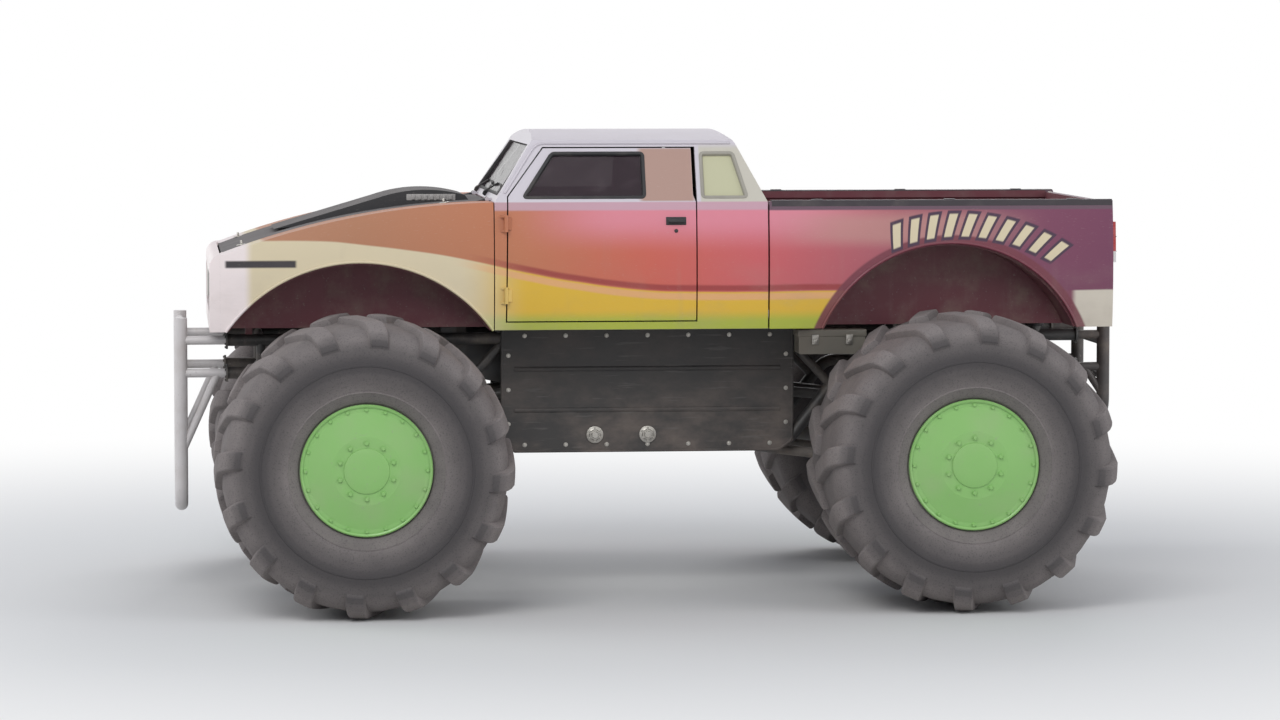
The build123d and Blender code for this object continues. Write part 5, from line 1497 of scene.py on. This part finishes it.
class MakeEngineTrim(bpy.types.Operator):
    """Rocker covers, air cleaner and sump seam on the plain engine block"""

    bl_idname = "truck.engine_trim"
    bl_label = "Engine trim"

    def execute(self, context):
        covers = [slab((1.10, 0.060, 2.002), (1.61, 0.215, 2.072), 0.016)]
        fins = 1.14 + 0.075 * np.arange(6)
        covers += [slab((x, 0.075, 2.066), (x + 0.025, 0.200, 2.079), 0.005) for x in fins]
        spots = [(x, y, 2.006) for x in (1.12, 1.36, 1.60) for y in (0.048, 0.227)]
        covers.append(bolts_at(spots, upward, 0.008, 0.008))
        make_pair("rocker_covers", covers, "bright_steel")
        pan = [(0.0, 0.0), (0.0, 0.165), (0.012, 0.172), (0.050, 0.172), (0.062, 0.160)]
        pan += [(0.066, 0.05), (0.078, 0.018), (0.078, 0.0)]
        neck = [(0, 0.0), (0, 0.06), (0.080, 0.05), (0.080, 0.0)]
        cleaner = [lathe(pan, 48, (1.34, 0, 2.082), upward), lathe(neck, 32, (1.34, 0, 2.006), upward)]
        make_piece("air_cleaner", cleaner, "grille_plastic")
        x, y = rounded([(1.056, 0.252), (1.654, 0.252), (1.654, -0.252), (1.056, -0.252)], 0.02).T
        seam = carried(run_of(x, y, 1.46), bead((0.010, -0.010), (0.010, 0.010)), upward, closed=True)
        plugs = [boss(0.024, 0.006, 0.003, 24, (x, 0.249, 1.600)) for x in (1.14, 1.26, 1.38, 1.50)]
        make_piece("block_seams", [seam, on_both_sides(gather(plugs))], "cast_block")
        return {"FINISHED"}


# Inside the cab


def swollen(shape, cap=0.012, voxel=0.008, frames=20):
    """A closed pad as cloth under a light pressure, held still along its seam where lift is nought.

    No point moves further than the cap, and the result is subdivided once.
    """
    scene = bpy.context.scene
    mesh = bpy.data.meshes.new("pad_blank")
    mesh.from_pydata(shape[0].tolist(), [], shape[1].tolist())
    blank = bpy.data.objects.new("pad_blank", mesh)
    scene.collection.objects.link(blank)
    remesh = blank.modifiers.new("voxels", "REMESH")
    remesh.mode = "VOXEL"
    remesh.voxel_size = voxel
    skin = applied(blank)
    start = mesh_points(skin)
    seam = blank.vertex_groups.new(name="seam")
    seam.add(np.flatnonzero(np.abs(start[:, 2]) < 0.75 * voxel).tolist(), 1.0, "REPLACE")
    cloth = blank.modifiers.new("cloth", "CLOTH")
    cloth.settings.use_pressure = True
    cloth.settings.uniform_pressure_force = 4.0
    cloth.settings.effector_weights.gravity = 0.0
    cloth.settings.vertex_group_mass = "seam"
    cloth.point_cache.frame_end = frames
    for step in range(1, frames + 1):
        scene.frame_set(step)
    move = mesh_points(blank.evaluated_get(bpy.context.evaluated_depsgraph_get()).data) - start
    reach = np.linalg.norm(move, axis=1, keepdims=True)
    blank.modifiers.clear()
    scene.frame_set(1)
    skin.vertices.foreach_set("co", (start + move * cap / np.maximum(reach, cap)).ravel())
    skin.update()
    smoother = blank.modifiers.new("smoother", "SUBSURF")
    smoother.levels = smoother.render_levels = 1
    done = applied(blank)
    faces = np.zeros(len(done.loops), int)
    done.loops.foreach_get("vertex_index", faces)
    result = mesh_points(done), faces.reshape(-1, 4)
    bpy.data.objects.remove(blank)
    return result


def applied(thing):
    """Gives an object its own evaluated mesh and takes its modifiers off."""
    mesh = bpy.data.meshes.new_from_object(thing.evaluated_get(bpy.context.evaluated_depsgraph_get()))
    thing.modifiers.clear()
    thing.data = mesh
    return mesh


def mesh_points(mesh):
    """Places of a mesh's vertices."""
    points = np.zeros(3 * len(mesh.vertices))
    mesh.vertices.foreach_get("co", points)
    return points.reshape(-1, 3)


def seat_pad(half_wide, half_long, thick, crown, channels):
    """Seat pad in its own frame: p across, q along, lift outwards.

    The plan is a superellipse whose sides pull in between its corners. At share s of the plan
    the face lifts by thick * (1 - s^6)^0.5, plus a crown (1 - p^2)(1 - q^2). The cloth swells
    from there, and channels along q are pressed in by a bell curve across each sewn line.
    A round welt follows the edge.
    """
    turn = np.linspace(0, 2 * pi, 120, endpoint=False)
    p, q = (np.sign(v) * np.abs(v) ** 0.30 for v in (np.cos(turn), np.sin(turn)))
    plan = np.stack([p * (1 - 0.035 * (1 - q**2)), q * (1 - 0.025 * (1 - p**2))], axis=1)
    shares = np.sin(np.linspace(0, pi / 2, 34))
    s = np.concatenate([shares, shares[-2::-1]])
    face = np.where(np.arange(len(s)) < 34, -0.5, 1.0)
    rings = s[:, None, None] * plan[None]
    edge = (1 - np.minimum(s, 1) ** 6)[:, None] ** 0.5
    lift = face[:, None] * thick * edge
    swell = crown * (1 - rings[..., 0] ** 2) * (1 - rings[..., 1] ** 2)
    lift = lift + (face[:, None] > 0) * swell
    points = np.stack([rings[..., 0] * half_wide, rings[..., 1] * half_long, lift], axis=-1)
    points, faces = swollen(outward(points.reshape(-1, 3), grid_faces(len(s), 120, False, True)))
    over = np.abs(points[:, 0]) / half_wide
    lane = np.abs((over * channels + 0.5) % 1 - 0.5) / channels
    on_face = np.clip(points[:, 2] / thick - 0.3, 0, 0.4) / 0.4
    inner = (over < 0.78) * np.clip(1 - (points[:, 1] / half_long) ** 10, 0, 1)
    points[:, 2] -= 0.010 * np.exp(-((lane / 0.028) ** 2)) * on_face * inner
    pad = outward(points, faces)
    line = np.stack([plan[:, 0] * half_wide, plan[:, 1] * half_long, np.zeros(120)], axis=1)
    return gather([pad, carried(line, round_bar(0.0042, 8), (0, 0, 1), closed=True)])


def laid(shape, middle, across, along):
    """A shape whose p, q and lift axes are turned to across, along and their cross product."""
    across, along = np.array(across, float), np.array(along, float) / np.linalg.norm(along)
    turn = np.stack([across, along, np.cross(across, along)], axis=1)
    points, faces = shape
    return outward(points @ turn.T + np.array(middle), faces)


class MakeSeats(bpy.types.Operator):
    """Two seats: sewn cushion and back pads on a plain base"""

    bl_idname = "truck.seats"
    bl_label = "Seats"

    def execute(self, context):
        crown = trim_sizes().seat_crown
        cushion = seat_pad(0.222, 0.232, 0.085, crown, 5)
        back = seat_pad(0.222, 0.318, 0.060, crown, 5)
        shell = slab((-0.195, -0.300, -0.012), (0.195, 0.300, 0.012), 0.010)
        recline = (-0.275, 0, 0.962)
        bases = []
        for name, side in left_right:
            y = side * 0.370
            seat = laid(cushion, (0.205, y, 1.752), leftward, (-1, 0, -0.10))
            piece = make_piece(f"seat_cushion_{name}", seat, "seat_fabric", crease=60)
            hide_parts("seats")
            rest = laid(back, (-0.092, y, 2.110), leftward, recline)
            piece = make_piece(f"seat_back_{name}", rest, "seat_fabric", crease=60)
            bases.append(slab((-0.030, y - 0.190, 1.6004), (0.400, y + 0.190, 1.705), 0.012))
            bases.append(laid(shell, (-0.128, y, 2.098), (0, -1, 0), recline))
        make_piece("seat_bases", bases, "trim_plastic")
        return {"FINISHED"}


dash_facing = (-0.9785, 0, 0.206)
dash_lean = 0.2105  # how far the dashboard's face goes ahead for each metre up


def on_dash(y, z, out=0.0):
    """Point on the dashboard's leaning face, or some way out from it."""
    return np.array([0.700 - (2.230 - z) * dash_lean, y, z]) + out * np.array(dash_facing)


def dial(y, radius):
    """Ring, face and pointer shapes of one dial: a needle on its hub, and ticks round it."""
    at = on_dash(y, 2.158)
    ring = [(0.0, radius - 0.004), (0.0, radius + 0.006), (0.012, radius + 0.005), (0.012, radius)]
    face = [(0, 0), (0, radius), (0.003, radius), (0.003, 0)]
    tip = on_dash(y + 0.6 * radius, 2.158 + 0.55 * radius, 0.006)
    ticks = ring_places(11, radius * 0.82, on_dash(y, 2.158, 0.0035), dash_facing, 2.3)
    pointers = [
        tube([on_dash(y, 2.158, 0.006), tip], 0.0018, 6),
        boss(0.006, 0.008, 0.002, 16, at, dash_facing),
        copies(slab((-0.001, -0.001, -0.004), (0.001, 0.001, 0.004), 0.0004), ticks),
    ]
    return lathe(ring, 32, at, dash_facing), lathe(face, 32, at, dash_facing), pointers


def lever(foot, top):
    """Bent lever with its ball and boot: the bar leaves its chord by a parabola of 5 cm."""
    foot, top = np.array(foot), np.array(top)
    reach = np.linspace(0, 1, 9)[:, None]
    bend = np.array([0.05, 0, 0]) * reach * (1 - reach) * 4
    bar = tube(foot + reach * (top - foot) - bend, 0.008, 10)
    turn = np.linspace(0, pi, 11)
    ball = np.stack([0.026 * (1 - np.cos(turn)), 0.026 * np.sin(turn)], axis=1)
    boot = [(0, 0.0), (0, 0.075), (0.02, 0.060), (0.035, 0.062)]
    boot += [(0.055, 0.042), (0.07, 0.044), (0.10, 0.014), (0.10, 0.0)]
    knob = lathe(ball, 24, top - np.array([0, 0, 0.008]), upward)
    return bar, [knob, lathe(boot, 28, (foot[0], foot[1], cab_floor_z), upward)]


class MakeDashTrim(bpy.types.Operator):
    """Dials, vents, radio panel, glovebox, levers, pedals, mirror and floor mat"""

    bl_idname = "truck.dash_trim"
    bl_label = "Cab fittings"

    def execute(self, context):
        places = ((0.262, 0.046), (0.370, 0.046), (0.478, 0.046), (0.205, 0.026), (0.535, 0.026))
        rings, faces, pointers = zip(*(dial(y, radius) for y, radius in places))
        make_piece("dial_rings", list(rings), "zinc")
        make_piece("dial_faces", list(faces), "dial_face")
        make_piece("dial_needles", [shape for group in pointers for shape in group], "seal_rubber")
        panels = []
        for y, half in ((0.0, 0.095), (-0.42, 0.150)):
            points, quads = slab((-half, -0.004, -0.045), (half, 0.006, 0.045), 0.004)
            panel = points[:, [0, 2, 1]], quads
            panels.append(laid(panel, on_dash(y, 2.150, 0.002), (0, -1, 0), (dash_lean, 0, 1)))
        slat = slab((-0.004, -0.045, -0.002), (0.004, 0.045, 0.002), 0.001)
        for y in (0.66, -0.66, 0.13, -0.13):
            panels.append(copies(slat, [on_dash(y, 2.190 - 0.016 * k, 0.003) for k in range(4)]))
        for y in (-0.05, 0.05):
            panels.append(boss(0.012, 0.020, 0.004, 20, on_dash(y, 2.150, 0.006), dash_facing))
        make_piece("dash_fittings", panels, "seal_rubber")
        gear, gear_knobs = lever((0.430, 0.030, 1.600), (0.350, 0.050, 2.010))
        low_range, low_range_knobs = lever((0.300, -0.060, 1.600), (0.270, -0.060, 1.880))
        make_piece("levers", [gear, low_range], "bright_steel")
        controls = [*gear_knobs, *low_range_knobs]
        pedal = slab((-0.030, -0.045, -0.006), (0.030, 0.045, 0.006), 0.004)
        for y in (0.250, 0.355, 0.460):
            controls.append(laid(pedal, (0.760, y, 1.720), leftward, (0.45, 0, 0.9)))
            controls.append(tube([(0.768, y, 1.725), (0.830, y, 1.850), (0.840, y, 1.975)], 0.007))
        mat = slab((-0.02, -0.66, cab_floor_z), (0.84, 0.66, 1.609), 0.004)
        make_piece("floor_mat", mat, "door_lining")
        mirror = slab((-0.115, -0.032, -0.010), (0.115, 0.032, 0.010), 0.008)
        controls.append(laid(mirror, (0.620, 0.0, 2.555), leftward, (0.12, 0, 1)))
        controls.append(tube([(0.628, 0, 2.560), (0.660, 0, 2.600), (0.664, 0, 2.648)], 0.006))
        make_piece("cab_controls", controls, "seal_rubber")
        return {"FINISHED"}


# Studio


def link_object(name, data):
    """Puts an object with this data into the scene."""
    made = bpy.data.objects.new(name, data)
    bpy.context.scene.collection.objects.link(made)
    return made


def aim(holder, place, ahead):
    """Puts a lamp or camera at a place, looking along a direction."""
    holder.location = place
    holder.rotation_euler = ahead.to_track_quat("-Z", "Y").to_euler()


class MakeStudio(bpy.types.Operator):
    """Floor, lamps, sky and camera"""

    bl_idname = "truck.studio"
    bl_label = "Studio"

    def execute(self, context):
        context.scene.view_settings.view_transform = "Standard"
        self.lay_floor()
        self.hang_sky(context.scene)
        for name, place, size, power in (
            ("key_lamp", (6.0, 14.0, 13.0), 9.0, 1300.0),
            ("fill_lamp", (-12.0, 9.0, 6.0), 9.0, 450.0),
            ("back_lamp", (-4.0, -14.0, 10.0), 9.0, 760.0),
            ("front_lamp", (14.0, -3.0, 7.0), 7.0, 450.0),
        ):
            lamp = bpy.data.lights.new(name, "AREA")
            lamp.size = size
            lamp.energy = power
            aim(link_object(name, lamp), place, Vector((0, 0, 1.2)) - Vector(place))
        self.set_camera(context.scene)
        return {"FINISHED"}

    def lay_floor(self):
        """Grey floor that keeps the truck's shadow and turns white in the distance."""
        f = Finish("studio_floor")
        f.set(Base_Color=(0.74, 0.74, 0.73), Roughness=0.9, Specular_IOR_Level=0.1)
        away = f.node("ShaderNodeVectorMath", {"operation": "LENGTH"}, f.place, output="Value")
        far = away.rise(3.2, 11.0) * f.direct_rays()
        white = f.node("ShaderNodeEmission", None, (1, 1, 1), 1.0)
        blend = f.node("ShaderNodeMixShader", None, far, Wire(f, f.shader.outputs["BSDF"]), white)
        f.feed(f.tree.nodes["Material Output"].inputs["Surface"], blend)
        mesh = bpy.data.meshes.new("studio_floor")
        reach = 400.0
        around = ((-1, -1), (1, -1), (1, 1), (-1, 1))
        mesh.from_pydata([(reach * x, reach * y, 0) for x, y in around], [], [(0, 1, 2, 3)])
        mesh.materials.append(f.material)
        floor = link_object("studio_floor", mesh)

    def hang_sky(self, scene):
        """Soft bluish light from all round, behind a white backdrop."""
        scene.world = bpy.data.worlds.new("studio_sky")
        scene.world.use_nodes = True
        sky = Nodes(scene.world.node_tree)
        sky.tree.nodes.clear()
        glow = sky.node("ShaderNodeBackground", None, (0.86, 0.90, 1.0), 0.5)
        white = sky.node("ShaderNodeBackground", None, (1, 1, 1), 1.0)
        blend = sky.node("ShaderNodeMixShader", None, sky.direct_rays(), glow, white)
        sky.feed(sky.tree.nodes.new("ShaderNodeOutputWorld").inputs["Surface"], blend)

    def set_camera(self, scene):
        """Camera on a ball about the truck's middle, from its turn, lift and distance."""
        settings = scene.truck_studio
        camera = bpy.data.cameras.new("photo_camera")
        camera.lens = settings.lens
        camera.sensor_width = 36
        camera.clip_end = 1000
        level = cos(settings.lift)
        away = Vector((sin(settings.turn) * level, cos(settings.turn) * level, sin(settings.lift)))
        scene.camera = link_object("photo_camera", camera)
        aim(scene.camera, Vector((0.0, 0.0, 1.32)) + away * settings.distance, -away)


class TruckPanel(bpy.types.Panel):
    """Sidebar panel with every step and its settings"""

    bl_idname = "VIEW3D_PT_truck"
    bl_label = "Monster Truck"
    bl_space_type = "VIEW_3D"
    bl_region_type = "UI"
    bl_category = "Truck"

    def draw(self, context):
        for operator in operators:
            self.layout.operator(operator.bl_idname)
        for name, group in groups:
            box = self.layout.box()
            for setting in group.__annotations__:
                box.prop(getattr(context.scene, name), setting)


operators = [
    MakeFinishes,
    MakeTyres,
    MakeWheelTrim,
    MakeSeals,
    MakeCabTrim,
    MakeDoorTrim,
    MakeClipTrim,
    MakeBedTrim,
    MakeTailgateTrim,
    MakeSkirtTrim,
    MakeAxleTrim,
    MakeShockTrim,
    MakeFrameTrim,
    MakeEngineTrim,
    MakeSeats,
    MakeDashTrim,
    MakeStudio,
]
groups = [
    ("truck_tyres", TyreSizes),
    ("truck_trim", TrimSizes),
    ("truck_paint", PaintColours),
    ("truck_studio", StudioSettings),
]


def register():
    """Makes the settings, steps and panel known to the program."""
    for name, group in groups:
        bpy.utils.register_class(group)
        setattr(bpy.types.Scene, name, bpy.props.PointerProperty(type=group))
    for item in [*operators, TruckPanel]:
        bpy.utils.register_class(item)


def unregister():
    """Takes them all out again."""
    for item in reversed([*operators, TruckPanel]):
        bpy.utils.unregister_class(item)
    for name, group in reversed(groups):
        delattr(bpy.types.Scene, name)
        bpy.utils.unregister_class(group)


def main():
    register()
    for operator in operators:
        family, name = operator.bl_idname.split(".")
        getattr(getattr(bpy.ops, family), name)()


if __name__ == "__main__":
    main()
